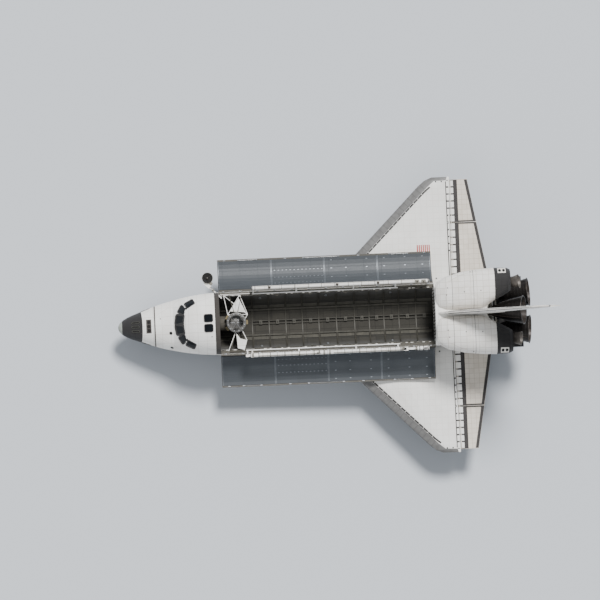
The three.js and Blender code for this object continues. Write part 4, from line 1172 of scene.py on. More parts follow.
@dataclass(frozen=True)
class Nose:
    """The thrusters, joints, sights and vents of the nose."""

    joint_x: float = 3.2
    joint_width: float = 0.14
    front_x: float = 1.56
    front_side: float = 0.37
    upper_x: float = 2.66
    upper_side: float = 0.36
    upper_half: Pair = (0.225, 0.59)
    throat: float = 0.115
    flank_x: float = 2.35
    flank_z: float = -1.4
    sights: tuple[tuple[Point, Point], ...] = (
        ((4.42, -0.94, 1.4), (0.12, 0.3, -1.0)), ((4.52, -2.35, 0.0), (0.1, 0.8, -0.6)))
    sight_radius: float = 0.14

    def build(self, nodes: Nodes) -> None:
        """Makes every piece of the nose.

        Args:
            nodes: the frame's nodes by name.
        """
        skin = Surface(nodes, "forward_thruster_module", "forward_fuselage")
        self._joint(skin)
        self._front_thrusters(skin)
        self._upper_thrusters(skin)
        self._flank_thrusters(skin)
        self._sights(skin)
        self._vents(skin)

    def _joint(self, skin: Surface) -> None:
        """The dark joint behind the thruster module.

        Args:
            skin: the surface that carries the pieces.
        """
        form = Form()
        for line in skin.section((self.joint_x, 0, 0), AFT):
            outer = [p for p in line if p.z > -1.22]
            if len(outer) > 8 and max(abs(p.y) for p in outer) > 1.2:
                form.strap(outer, AFT, Vector((self.joint_x, 0, -1.2)), self.joint_width, 0.012)
        form.done("module_joint", HOT_TILE)

    def _front_thrusters(self, skin: Surface) -> None:
        """Three long scooped thrusters that fire forward out of the black slope.

        Args:
            skin: the surface that carries the pieces.
        """
        scoops, throats = Form(), Form()
        for side in (-1, 0, 1):
            spot = Spot(skin, (self.front_x, side * self.front_side, -0.6), (0.42, -0.1 * side, -1.0),
                        (-1, 0, 0.4), (0.06, 0.33), 0.055)
            scoops.pressed(spot, rim(0.05, 0.045), hollow=True)
            throats.pressed(spot, pad(0.02))
        scoops.done("front_thruster_scoops", SCOOP)
        throats.done("front_thruster_throats", SOOT)

    def _upper_thrusters(self, skin: Surface) -> None:
        """A black panel on top with three round thrusters that fire upward.

        Args:
            skin: the surface that carries the pieces.
        """
        long, wide = self.upper_half
        outline = quad((self.upper_x, 0, 1), (long, 0, 0), (0, wide, 0))
        Form().laid(skin, outline, DOWN, 0.01, 0.02, 0.15).done("upper_thruster_panel", HOT_TILE)
        lips, throats = Form(), Form()
        for side in (-1, 0, 1):
            spot = Spot(skin, (self.upper_x, side * self.upper_side, 0), (0.2, 0, -1), AFT,
                        (self.throat, self.throat), self.throat)
            lips.pressed(spot, rim(0.03, 0.034), hollow=True)
            throats.pressed(spot, pad(0.022))
        lips.done("upper_thruster_lips", NOZZLE)
        throats.done("upper_thruster_throats", SOOT)

    def _flank_thrusters(self, skin: Surface) -> None:
        """Four round thrusters low on each side, in two pairs on black panels.

        Args:
            skin: the surface that carries the pieces.
        """
        panels, lips, throats = Form(), Form(), Form()
        for height, lean in ((0.0, 0.0), (-0.5, -0.4)):
            aim = (0.25, -1.0, -lean)
            centre = (self.flank_x, 1.6, self.flank_z + height)
            panels.pressed(Spot(skin, centre, aim, UP, (0.42, 0.19), 0.05), pad(0.008))
            for step in (-0.2, 0.2):
                spot = Spot(skin, (centre[0] + step, centre[1] + 0.05, centre[2]), aim, UP,
                            (self.throat * 0.9, self.throat * 0.9), self.throat)
                lips.pressed(spot, rim(0.025, 0.02), hollow=True)
                throats.pressed(spot, pad(0.012))
        panels.done("flank_thruster_panels", BLACK_TILES, mirrored=True)
        lips.done("flank_thruster_lips", STEEL_DARK, mirrored=True)
        throats.done("flank_thruster_throats", SOOT, mirrored=True)

    def _sights(self, skin: Surface) -> None:
        """The two star sights on the port side, each a dark round eye.

        Args:
            skin: the surface that carries the pieces.
        """
        eyes = Form()
        for centre, aim in self.sights:
            eyes.laid(skin, disc(centre, aim, self.sight_radius), aim, 0.012, 0.02, 0.1)
        eyes.done("star_sight_eyes", SOOT)

    def _vents(self, skin: Surface) -> None:
        """Small round vents on top, and square covers low on the sides.

        Args:
            skin: the surface that carries the pieces.
        """
        form = Form()
        for x, y, z, aim in ((7.85, -0.72, 2.2, (0, 0.1, -1)), (8.02, -1.15, 2.2, (0, 0.2, -1)),
                             (6.35, 2.2, 0.9, (0, -1, -0.6)), (3.6, 0.6, 0.6, (0.2, 0, -1))):
            form.pressed(Spot(skin, (x, y, z), aim, AFT, (0.05, 0.05), 0.05), pad(0.006))
        for x, z in ((5.2, -2.0), (6.6, -2.25)):
            for side in (-1, 1):
                spot = Spot(skin, (x, side * 2.4, z), (0, -side, 0), UP, (0.2, 0.13), 0.03)
                form.pressed(spot, pad(0.006))
        form.done("hull_vents", DARK_TRIM)


@dataclass(frozen=True)
class Pane:
    """One window opening: its centre, how far it turns outboard and leans back, and its size."""

    centre: Point
    turn_deg: float
    tilt_deg: float
    half: Pair
    radius: float
    surround: float


@dataclass(frozen=True)
class Windows:
    """The glass of the cabin windows, with their black surrounds and white outer trim."""

    panes: tuple[Pane, ...] = (
        Pane((5.296, 0.405, 1.232), 8, 45, (0.355, 0.44), 0.06, 0.17),
        Pane((5.55, 1.25, 1.207), 30, 40, (0.3, 0.4), 0.06, 0.1),
        Pane((6.198, 1.78, 1.334), 62, 42, (0.36, 0.31), 0.08, 0.09),
    )
    roof_centre: Point = (7.772, 0.425, 2.3)
    roof_half: Pair = (0.295, 0.33)
    roof_radius: float = 0.1
    glass_depth: float = 0.03
    hatch_centre: Point = (6.782, -2.6, -1.2192)
    hatch_radius: float = 0.508
    hatch_window: float = 0.14

    def build(self, nodes: Nodes) -> None:
        """Makes the glass, the surrounds, the roof trim and the hatch fittings.

        Args:
            nodes: the frame's nodes by name.
        """
        skin = Surface(nodes, "forward_fuselage")
        spots = [self._spot(skin, pane, side) for pane in self.panes for side in (1, -1)]
        spots += [Spot(skin, (self.roof_centre[0], side * self.roof_centre[1], self.roof_centre[2]),
                       DOWN, AFT, self.roof_half, self.roof_radius, True) for side in (1, -1)]
        glass, surrounds, seats = Form(), Form(), Form()
        deep = self.glass_depth
        for number, spot in enumerate(spots):
            glass.pressed(spot, ((-9, -deep), (-0.2, -deep), (0.01, -deep), (0.01, -deep - 0.03),
                                 (-9, -deep - 0.03)))
            in_roof = number >= len(self.panes) * 2
            wide = 0.06 if in_roof else self.panes[number // 2].surround
            lift = 0.014 + 0.003 * number
            surrounds.pressed(spot, ((-0.02, -deep), (-0.012, 0.004), (0.01, lift), (wide, lift),
                                     (wide + 0.01, -0.02), (0.02, -0.03)), hollow=True)
            if in_roof:
                seats.pressed(spot, ((wide + 0.008, -0.01), (wide + 0.012, lift), (wide + 0.03, lift),
                                     (wide + 0.036, -0.01)), hollow=True)
        glass.done("window_glass", GLASS, smooth_deg=50)
        surrounds.done("window_surrounds", DARK_TRIM)
        seats.done("window_trim", BODY_TRIM)
        self._hatch(nodes)

    @staticmethod
    def _spot(skin: Surface, pane: Pane, side: int) -> Spot:
        """A windscreen pane's place on one side.

        Args:
            skin: the forward fuselage.
            pane: the pane.
            side: 1 for starboard, -1 for port.

        Returns:
            The place.
        """
        turn = Matrix.Rotation(math.radians(-side * pane.turn_deg), 3, "Z")
        turn = turn @ Matrix.Rotation(math.radians(pane.tilt_deg), 3, "Y")
        centre = (pane.centre[0], side * pane.centre[1], pane.centre[2])
        aim, up = turn @ Vector(AFT), turn @ Vector(UP)
        return Spot(skin, centre, aim, up, pane.half, pane.radius, open_inside=True)

    def _hatch(self, nodes: Nodes) -> None:
        """The round window and the grip of the side hatch, and its outline on the hull.

        Args:
            nodes: the frame's nodes by name.
        """
        door = Surface(nodes, "side_hatch")
        hull = Surface(nodes, "forward_fuselage")
        aim, up = STARBOARD, UP
        pane = Spot(door, self.hatch_centre, aim, up, (self.hatch_window,) * 2, self.hatch_window)
        Form().pressed(pane, pad(0.006)).done("hatch_glass", GLASS, "hatch")
        Form().pressed(pane, rim(0.045, 0.016), hollow=True).done("hatch_window_rim", STEEL, "hatch")
        reach = self.hatch_radius + 0.012
        edge = Spot(hull, self.hatch_centre, aim, up, (reach, reach), reach)
        Form().pressed(edge, rim(0.045, 0.008), hollow=True, corner_points=9).done(
            "hatch_surround", DARK_TRIM)
        grip = Form()
        for along in (-0.07, 0.07):
            foot = pane.at(along, -0.3, 0.0)
            grip.tube([foot + Vector((0, 0.01, 0)), foot + Vector((0, -0.035, 0))], 0.014)
        grip.tube([pane.at(-0.07, -0.3, 0.035), pane.at(0.07, -0.3, 0.035)], 0.016)
        grip.done("hatch_grip", STEEL, "hatch")


# Where the hoop frames of the bay stand, in airframe metres
FRAME_X = (8.62, 10.109, 11.557, 13.005, 14.453, 15.875, 17.297, 18.821, 20.371, 21.641, 22.911, 24.206,
           25.679, 27.12)


@dataclass(frozen=True)
class Bay:
    """The lining, frames, trays and fittings of the open payload bay."""

    radius: float = 2.286
    wall_top: float = 0.14
    bulge: float = 0.045
    panels_across: int = 6
    frame_depth: float = 0.085
    frame_width: float = 0.09
    tray_turn_deg: float = 38.0
    tray_half: float = 0.17
    tray_depth: float = 0.11
    bridge_y: float = 2.285
    front_wall: float = 8.585
    back_wall: float = 27.139
    wall_radius: float = 2.2
    roof_half: Pair = (2.66, 2.54)
    roof_power: float = 2.3

    def build(self, nodes: Nodes) -> None:
        """Makes every piece of the bay.

        Args:
            nodes: the frame's nodes by name; not used here.
        """
        self._liner()
        self._frames()
        self._trays()
        self._keel()
        self._bridges()
        self._bulkheads()
        self._floodlights()

    def _ring(self, x: float, turn: float, lift: float) -> Vector:
        """A point of the trough's wall, lifted inward; turns beyond 0 and 180 degrees climb its sides.

        Args:
            x: the place along the bay.
            turn: the turn round the bay's axis, in radians.
            lift: how far off the wall, inward.

        Returns:
            The point.
        """
        reach = self.radius - lift
        if turn < 0 or turn > math.pi:
            side = 1 if turn < 0 else -1
            climb = -turn if turn < 0 else turn - math.pi
            return Vector((x, side * reach, climb * self.radius))
        return Vector((x, reach * math.cos(turn), -reach * math.sin(turn)))

    def _turns(self, count: int) -> list[float]:
        """Even steps down one wall, round the floor and up the other wall."""
        climb = self.wall_top / self.radius
        return [-climb] + [math.pi * k / count for k in range(count + 1)] + [math.pi + climb]

    def _liner(self) -> None:
        """Cloth panels between the frames, each puffed out a little between its fixings."""
        form = Form()
        steps = 8
        around = self._turns(self.panels_across * steps)
        for front, back in zip(FRAME_X, FRAME_X[1:]):
            rings = []
            for i in range(steps + 1):
                share = i / steps
                crown = math.sin(math.pi * share) ** 0.6
                ring = []
                for turn in around:
                    part = (turn / math.pi * self.panels_across) % 1.0
                    puff = crown * abs(math.sin(math.pi * part)) ** 0.6 if 0 <= turn <= math.pi else 0.0
                    ring.append(self._ring(front + share * (back - front), turn, 0.012 + self.bulge * puff))
                low = [self._ring(p.x, turn, 0.002) for p, turn in zip(ring, around)]
                rings.append(ring + low[::-1])
            form.rings(rings)
        form.done("bay_liner", BAY_LINER, smooth_deg=60)

    def _frames(self) -> None:
        """The hoop frames, each a web with a cap along its inner edge."""
        form = Form()
        half = self.frame_width / 2
        deep = self.frame_depth
        shape = ((-0.012, 0.004), (-0.012, deep - 0.012), (-half, deep - 0.012), (-half, deep), (half, deep),
                 (half, deep - 0.012), (0.012, deep - 0.012), (0.012, 0.004))
        for x in FRAME_X[1:-1]:
            form.rings([[self._ring(x + along, turn, lift) for along, lift in shape]
                        for turn in self._turns(36)])
        form.done("bay_frames", SHADED_BAY_FRAME)

    def _trays(self) -> None:
        """A covered cable tray low on each side, with a cable bundle beside it and a strap at each frame."""
        trays, cables, straps = Form(), Form(), Form()
        turn = math.pi / 2 - math.radians(self.tray_turn_deg)
        across = self.tray_half / self.radius
        for front, back in zip(FRAME_X, FRAME_X[1:]):
            low, high = front + 0.09, back - 0.09
            rings = [[self._ring(x, turn + t, lift) for t, lift in
                      ((-across, 0.03), (-across, self.tray_depth - 0.02), (-across * 0.85, self.tray_depth),
                       (across * 0.85, self.tray_depth), (across, self.tray_depth - 0.02), (across, 0.03))]
                     for x in (low, low + 0.02, high - 0.02, high)]
            trays.rings(rings)
            for share in (0.25, 0.5, 0.75):
                x = low + share * (high - low)
                straps.rings([[self._ring(x + along, turn + t, self.tray_depth + lift) for along, lift in
                               ((-0.025, -0.004), (-0.025, 0.01), (0.025, 0.01), (0.025, -0.004))]
                              for t in (-across * 0.84, 0.0, across * 0.84)])
        for row, radius in enumerate((0.028, 0.02, 0.024)):
            turned = turn + across * (1.5 + row * 0.34)
            path = [self._ring(x, turned + 0.006 * math.sin(x * 2.1 + row), self.frame_depth + 0.03)
                    for x in numpy.arange(FRAME_X[0] + 0.1, FRAME_X[-1] - 0.05, 0.5)]
            cables.tube(path, radius, 8)
        trays.done("bay_cable_trays", SHADED_BAY_TRAY, mirrored=True)
        straps.done("bay_tray_straps", SHADED_BAY_TRAY, mirrored=True)
        cables.done("bay_cable_bundles", SHADED_BAY_TRAY, mirrored=True)

    def _keel(self) -> None:
        """A keel rail along the floor, with a fitting where each load can be pinned."""
        rail, fittings = Form(), Form()
        low = -self.radius + 0.03
        for front, back in zip(FRAME_X[2:], FRAME_X[3:]):
            for side in (-1, 1):
                y = side * 0.13
                rail.block((front + 0.06, y - 0.03, low), (back - 0.06, y + 0.03, low + 0.14), 0.008)
            middle = (front + back) / 2
            fittings.block((middle - 0.14, -0.2, low + 0.06), (middle + 0.14, 0.2, low + 0.19), 0.02)
            fittings.turned(((0.0, 0.055), (0.05, 0.055), (0.06, 0.045), (0.06, 0.03), (-0.02, 0.03)),
                            (middle, 0, low + 0.18), UP, 16)
        rail.done("bay_keel_rail", SHADED_BAY_FRAME)
        fittings.done("bay_keel_fittings", SHADED_BAY_FRAME)

    def _bridges(self) -> None:
        """Bridge fittings along the inner faces of the sills, with a latch hook on every other one."""
        plates, hooks = Form(), Form()
        y = self.bridge_y
        for number, (front, back) in enumerate(zip(FRAME_X, FRAME_X[1:])):
            middle = (front + back) / 2
            if middle < 11.0:
                continue
            sides = ((front + 0.1, 0.235), (front + 0.1, 0.13), (middle - 0.3, -0.02), (middle + 0.3, -0.02),
                     (back - 0.1, 0.13), (back - 0.1, 0.235))
            plates.slab([(x, y, z) for x, z in sides], (0, -0.045, 0), 0.006)
            for share in (0.2, 0.35, 0.65, 0.8):
                x = front + share * (back - front)
                plates.turned(((0.0, 0.0), (0.0, 0.022), (0.012, 0.018), (0.012, 0.0)), (x, y - 0.044, 0.18),
                              PORT, 8)
            if number % 2:
                hooks.block((middle - 0.12, y - 0.13, 0.06), (middle + 0.12, y - 0.03, 0.24), 0.015)
                hooks.pin((middle, y - 0.09, 0.25), AFT, 0.1, 0.04, 14)
        plates.done("sill_bridge_fittings", SHADED_BAY_FRAME, mirrored=True)
        hooks.done("sill_latch_hooks", SHADED_BAY_TRAY, mirrored=True)

    def _bulkheads(self) -> None:
        """Stiffeners and beams on the walls at both ends of the bay."""
        form = Form()
        for wall, inward, clear, deep in ((self.front_wall, 1, 0.75, 0.075),
                                          (self.back_wall, -1, 0.0, 0.034)):
            for step in range(-7, 8):
                y = step * 0.29
                low = -math.sqrt(max(self.wall_radius ** 2 - y * y, 0.0)) + 0.05
                share = abs(y) / self.roof_half[0]
                crown = (1 - share ** self.roof_power) ** (1 / self.roof_power)
                high = self.roof_half[1] * crown - 0.45
                if abs(y) < clear:
                    low = 0.08
                form.block((wall - 0.01, y - 0.014, low), (wall + inward * deep, y + 0.014, high), 0.004)
                form.block((wall + inward * (deep - 0.012), y - 0.045, low),
                           (wall + inward * (deep + 0.003), y + 0.045, high), 0.003)
            for z in (-1.4, 0.35, 1.15):
                reach = math.sqrt(self.wall_radius ** 2 - z * z) if z < 0 else 2.1 - max(z - 0.6, 0) * 0.5
                for side in (-1, 1):
                    near, far = sorted((side * (clear if -1.35 < z < 0.1 else 0.0), side * reach))
                    form.block((wall - 0.01, near, z - 0.05),
                               (wall + inward * (deep + 0.006), far, z + 0.05), 0.01)
        form.done("bay_bulkhead_stiffeners", SHADED_BAY_FRAME)

    def _floodlights(self) -> None:
        """Small floodlights low in the bay, in round housings."""
        housings, lenses = Form(), Form()
        for x in (12.28, 17.95, 23.5):
            for turn in map(math.radians, (20, 160)):
                base = self._ring(x, turn, 0.03)
                aim = Vector((0, -math.cos(turn), math.sin(turn) * 0.9))
                housings.turned(((0.0, 0.0), (0.0, 0.1), (0.1, 0.11), (0.12, 0.1), (0.12, 0.085),
                                 (0.09, 0.08), (0.09, 0.0)), base, aim, 18)
                lenses.turned(((0.085, 0.0), (0.085, 0.082), (0.105, 0.078), (0.112, 0.04), (0.113, 0.0)),
                              base, aim, 18)
        housings.done("bay_floodlight_housings", STEEL)
        lenses.done("bay_floodlight_lenses", GLASS)


@dataclass(frozen=True)
class DockingPort:
    """The docking ring on its short tunnel, with its guides, hooks and trusses."""

    centre: Point = (10.15, 0.0, 0.70)
    drum: float = 0.76
    bore_floor: float = 0.26
    guides: int = 3
    hooks: int = 12

    def build(self, nodes: Nodes) -> None:
        """Makes every piece of the docking port.

        Args:
            nodes: the frame's nodes by name; not used here.
        """
        self._ring()
        self._guides()
        self._hatch()
        self._drum()
        self._trusses()

    def _out(self, turn: float, reach: float, z: float) -> Vector:
        """A point at a turn and a reach from the port's axis."""
        x, y, _ = self.centre
        return Vector((x + reach * math.cos(turn), y + reach * math.sin(turn), z))

    def _ring(self) -> None:
        """The stepped metal ring, and the hooks and bolts round it."""
        x, y, top = self.centre
        profile = ((-0.16, 0.6), (-0.16, 0.845), (-0.13, 0.86), (0.0, 0.86), (0.02, 0.845), (0.03, 0.82),
                   (0.03, 0.76), (0.015, 0.75), (0.015, 0.7), (0.05, 0.69), (0.05, 0.61), (0.03, 0.6))
        Form().turned(profile, (x, y, top), UP, 48).done("docking_ring", RING_METAL)
        hooks, bolts = Form(), Form()
        for turn in turns(self.hooks, math.pi / self.hooks):
            out = Vector((math.cos(turn), math.sin(turn), 0))
            across = Vector((-out.y, out.x, 0))
            foot = self._out(turn, 0.725, top)
            hooks.slab(quad(foot, across * 0.035, out * 0.04), (0, 0, 0.06), 0.008)
        for turn in turns(36):
            foot = self._out(turn, 0.79, top + 0.025)
            bolts.turned(((0.0, 0.0), (0.0, 0.012), (0.014, 0.011), (0.014, 0.0)), foot, UP, 6)
        hooks.done("docking_hooks", STEEL)
        bolts.done("docking_ring_bolts", STEEL)

    def _guides(self) -> None:
        """Three bent guide petals on a capture ring, leaning inward."""
        _, _, top = self.centre
        petals = Form()
        for middle in turns(self.guides, 0.5):
            rings = []
            for step in range(9):
                share = step / 8 - 0.5
                turn = middle + share * 0.95
                rise = 0.3 * math.cos(math.pi * share) ** 0.6 + 0.02
                low = self._out(turn, 0.63, top + 0.03)
                high = self._out(turn, 0.63 - 0.42 * rise, top + 0.03 + rise)
                out = (low - self._out(turn, 0.0, low.z)).normalized()
                rings.append([low - out * 0.012, low + out * 0.012, high + out * 0.01, high - out * 0.01])
            petals.rings(rings)
        for turn in turns(6, 0.25):
            petals.tube([self._out(turn, 0.6, self.bore_floor + 0.04), self._out(turn + 0.35, 0.6, top)],
                        0.02, 8)
        petals.done("docking_guides", RING_METAL)

    def _hatch(self) -> None:
        """The round hatch at the bottom of the bore, with its beams and two handles."""
        x, y, _ = self.centre
        base = (x, y, self.bore_floor)
        profile = ((0.0, 0.0), (0.0, 0.62), (0.03, 0.62), (0.045, 0.6), (0.045, 0.52), (0.025, 0.5),
                   (0.06, 0.12), (0.085, 0.1), (0.085, 0.0))
        Form().turned(profile, base, UP, 40).done("docking_hatch", RING_METAL)
        bars = Form()
        for turn in turns(6):
            spans = ((0.1, 0.07), (0.55, 0.045))
            bars.tube([self._out(turn, reach, self.bore_floor + rise) for reach, rise in spans], 0.018, 8)
        for turn in (0.6, 2.7):
            bars.tube([self._out(turn + swing, 0.28, self.bore_floor + rise)
                       for swing, rise in ((0, 0.03), (0, 0.1), (0.5, 0.1), (0.5, 0.03))], 0.013, 8)
        bars.done("docking_hatch_bars", STEEL)

    def _drum(self) -> None:
        """Bands, four handrails and film-wrapped boxes round the drum."""
        x, y, _ = self.centre
        bands = Form()
        for z in (0.42, 0.05, -0.45):
            inner, outer = self.drum - 0.02, self.drum + 0.018
            bands.turned(((z - 0.03, inner), (z - 0.03, outer), (z + 0.03, outer), (z + 0.03, inner)),
                         (x, y, 0), UP, 40)
        for side in (-1, 1):
            for end in (-1, 1):
                turn = math.atan2(side, end * 0.9)
                bands.tube([self._out(turn + swing, self.drum + lift, 0.3) for swing, lift in
                            ((-0.22, -0.01), (-0.22, 0.09), (0.22, 0.09), (0.22, -0.01))], 0.018, 8)
        bands.done("docking_drum_bands", STRUCTURE)
        boxes = Form()
        for turn, high in ((0.0, 0.34), (2.6, 0.3), (3.7, 0.2)):
            middle = self._out(turn, self.drum + 0.11, high)
            out = Vector((math.cos(turn), math.sin(turn), 0))
            across = Vector((-out.y, out.x, 0))
            boxes.slab(quad(middle - Vector((0, 0, 0.2)), across * 0.19, out * 0.13), (0, 0, 0.36), 0.03)
        boxes.done("docking_equipment_boxes", FILM)

    def _trusses(self) -> None:
        """White tubes between the sills and the drum, with stretched blanket panels on them."""
        tubes, panels = Form(), Form()
        near, far = 0.37, 0.3
        starboard = [(9.15, 2.36, far), (10.53, 2.36, far), (11.14, 0.66, near), (9.45, 0.7, near)]
        for a, b in ((0, 1), (1, 2), (2, 3), (3, 0), (0, 2), (1, 3)):
            tubes.tube([starboard[a], starboard[b]], 0.032, 10)
        tubes.tube([(11.14, 0.66, near), (10.86, 0.2, near)], 0.032, 10)
        tubes.tube([(9.45, 0.7, near), (9.7, 0.5, near)], 0.032, 10)
        panels.slab([(9.62, 0.98, 0.385), (11.0, 0.85, 0.385), (10.43, 2.1, 0.345)], (0, 0, 0.02), 0.006)
        port = [(10.1, -0.86, 0.462), (10.42, -1.38, 0.44), (11.0, -1.52, 0.43), (10.72, -2.34, 0.39),
                (10.2, -2.2, 0.4)]
        panels.slab(port, (0, 0, 0.025), 0.008)
        tubes.tube([(11.0, -1.52, 0.4), (10.72, -2.4, 0.34)], 0.032, 10)
        tubes.tube([(11.0, -1.52, 0.4), (10.55, -0.5, 0.42)], 0.032, 10)
        tubes.tube([(9.4, -2.4, 0.34), (10.1, -0.7, 0.42)], 0.032, 10)
        tubes.done("docking_truss_tubes", ARM_WRAP)
        panels.done("docking_truss_blankets", ARM_WRAP)


@dataclass(frozen=True)
class Doors:
    """The payload doors' latches, hinges, seals and frames, and the radiators' lines and fittings."""

    hinge_y: float = 2.667
    hinge_z: float = 0.254
    open_deg: float = 175.5
    front: float = 8.744
    back: float = 27.146
    joints: tuple[float, ...] = (13.365, 17.934, 22.515)
    free_edge_y: float = 0.035
    panel_front: float = 8.79
    panel_split: float = 17.93
    panel_back: float = 27.09
    hinges: int = 13
    latches: tuple[float, ...] = (9.35, 10.6, 12.1, 14.6, 16.2, 19.2, 20.9, 23.6, 25.1, 26.6)

    def build(self, nodes: Nodes) -> None:
        """Makes every piece of both doors, modelled on the closed starboard door.

        Args:
            nodes: the frame's nodes by name.
        """
        swing = self._swing()
        skin = Surface(nodes, "payload_door_starboard")
        skin.move(swing.inverted())
        panels = Surface(nodes, "radiator_forward_starboard", "radiator_aft_starboard")
        panels.move(swing.inverted())
        self._edge(skin, swing)
        self._ends(skin, swing)
        self._joints(skin, swing)
        self._lines(panels, swing)
        self._fittings(panels, swing)
        self._hinges()

    def _swing(self) -> Matrix:
        """The turn that opens the closed starboard door."""
        foot = Matrix.Translation((0, self.hinge_y, self.hinge_z))
        return foot @ Matrix.Rotation(math.radians(-self.open_deg), 4, "X") @ foot.inverted()

    @staticmethod
    def _inside(skin: Surface, x: float, turn_deg: float) -> tuple[Vector, Vector] | None:
        """A place and normal on the inner side of the closed door, at a turn round the bay's axis."""
        return skin.hit(Vector((x, 0, 0.2)), spoke(math.radians(turn_deg)))

    def _edge(self, skin: Surface, swing: Matrix) -> None:
        """The strip along the free edge, with latches, rollers, rods and the dark seal bulb.

        Args:
            skin: the surface that carries the pieces.
            swing: the turn that opens the door.
        """
        seal, strip, latches = Form(), Form(), Form()
        y = self.free_edge_y
        z = skin.hit(Vector((15.0, y, 0)), Vector(UP))[0].z
        seal.tube([(x, y - 0.002, z + 0.03) for x in (self.front + 0.03, self.back - 0.03)], 0.024, 8)
        for front, back in zip((self.front + 0.04, *self.joints), (*self.joints, self.back - 0.04)):
            strip.block((front + 0.012, y + 0.015, z - 0.012), (back - 0.012, y + 0.075, z + 0.004), 0.004)
        for number, x in enumerate(self.latches):
            latches.block((x - 0.1, y + 0.02, z - 0.05), (x + 0.1, y + 0.085, z - 0.008), 0.01)
            for step in (-0.06, 0.06):
                latches.pin((x + step, y + 0.05, z - 0.06), AFT, 0.02, 0.03, 14)
            if number % 3 == 1:
                ends = (x + 0.1, self.latches[number + 1] - 0.1)
                latches.tube([(end, y + 0.06, z - 0.03) for end in ends], 0.012, 8)
        seal.both("door_edge_seal", DARK_TRIM, "door", swing)
        strip.both("door_edge_strip", COMPOSITE, "door", swing)
        latches.both("door_latches", STEEL, "door", swing)

    def _ends(self, skin: Surface, swing: Matrix) -> None:
        """The sealed end frames, each with a row of hook fittings.

        Args:
            skin: the surface that carries the pieces.
            swing: the turn that opens the door.
        """
        seals, hooks = Form(), Form()
        for x, inward in ((self.front + 0.03, 1), (self.back - 0.03, -1)):
            inner = [self._inside(skin, x, turn) for turn in range(5, 90, 5)]
            line = [place for place, _ in filter(None, inner)]
            seals.strap(line, AFT, Vector((x, 0, -4)), 0.05, 0.006, 0.03)
            for turn in (24, 42, 60, 77):
                met = self._inside(skin, x + inward * 0.07, turn)
                if met is None:
                    continue
                place, normal = met
                side = Vector(AFT).cross(normal)
                hooks.slab(quad(place, (0.06, 0, 0), side * 0.035), normal * 0.03, 0.006)
        seals.both("door_end_seals", DARK_TRIM, "door", swing)
        hooks.both("door_end_hooks", STEEL, "door", swing)

    def _joints(self, skin: Surface, swing: Matrix) -> None:
        """The expansion joints between the door's sections: a dark gap between two bright lips.

        Args:
            skin: the surface that carries the pieces.
            swing: the turn that opens the door.
        """
        gaps, lips = Form(), Form()
        for x in self.joints:
            inner = [self._inside(skin, x, turn) for turn in range(5, 90, 4)]
            line = [place for place, _ in filter(None, inner)]
            outer = [skin.hit(Vector((x, 0, 0)) + spoke(turn, 6.0), -spoke(turn))
                     for turn in map(math.radians, range(6, 90, 4))]
            rim_line = [place for place, _ in filter(None, outer)]
            gaps.strap(rim_line, AFT, Vector((x, 0, 0)), 0.05, 0.004)
            gaps.strap(line, AFT, Vector((x, 0, 12)), 0.03, 0.004)
            for step in (-0.045, 0.045):
                moved = [place + Vector((step, 0, 0)) for place in rim_line]
                lips.strap(moved, AFT, Vector((x, 0, 0)), 0.035, 0.008)
        gaps.both("door_joint_gaps", DARK_TRIM, "door", swing)
        lips.both("door_joint_lips", BODY_TRIM, "door", swing)

    def _lines(self, panels: Surface, swing: Matrix) -> None:
        """Fine lengthwise coolant tubes that show through the film, and bright edge rails.

        Args:
            panels: the radiators' faces.
            swing: the turn that opens the door.
        """
        for body, front, back in (("radiator", self.panel_front, self.panel_split),
                                  ("door", self.panel_split, self.panel_back)):
            rails, tubes = Form(), Form()
            cells = [x for x in (self.panel_front, *self.joints, self.panel_back)
                     if front <= x <= back + 0.01]
            for low, high in zip(cells, cells[1:]):
                spans = (low + 0.025, high - 0.035)
                for x in (spans[0] + 0.012, spans[1] - 0.012):
                    met = [self._inside(panels, x, turn) for turn in (6.5, *range(8, 88, 4), 86.0)]
                    line = [place for place, _ in filter(None, met)]
                    rails.strap(line, AFT, Vector((x, 0, 12)), 0.02, 0.007, 0.004)
                for turn in (6.3, 86.3):
                    ends = [self._inside(panels, x, turn) for x in spans]
                    if None not in ends:
                        normal = ends[0][1]
                        side = Vector(AFT).cross(normal) * 0.011
                        (start, _), (end, _) = ends
                        outline = [start - side, end - side, end + side, start + side]
                        rails.slab(outline, normal * 0.007, 0.002)
                for turn in numpy.arange(9.0, 85.0, 2.4):
                    ends = [self._inside(panels, x, turn) for x in (spans[0] + 0.05, spans[1] - 0.05)]
                    if None not in ends:
                        tubes.tube([place - normal * 0.004 for place, normal in ends], 0.0085, 6)
            rails.both(f"{body}_rails", PANEL_EDGE, body, swing)
            tubes.both(f"{body}_coolant_tubes", RADIATOR, body, swing)

    def _fittings(self, panels: Surface, swing: Matrix) -> None:
        """Small hold-down covers in rows on the aft panels, and bond pads on the forward ones.

        Args:
            panels: the radiators' faces.
            swing: the turn that opens the door.
        """
        for name, body, stations, rows, length, width, height, bevel in (
                ("radiator_hold_downs", "door", (18.55, 19.8, 21.6, 23.1, 24.9, 26.4), (22, 42, 62, 80),
                 0.07, 0.03, 0.022, 0.004),
                ("radiator_bond_pads", "radiator", numpy.arange(13.65, 17.75, 0.34), (30, 46, 62),
                 0.055, 0.022, 0.02, 0.003)):
            covers = Form()
            for x, turn in product(stations, rows):
                met = self._inside(panels, float(x), turn)
                if met is not None:
                    place, normal = met
                    side = Vector(AFT).cross(normal)
                    outline = quad(place - normal * 0.01, (length, 0, 0), side * width)
                    covers.slab(outline, normal * height, bevel)
            covers.both(name, PANEL_EDGE, body, swing)

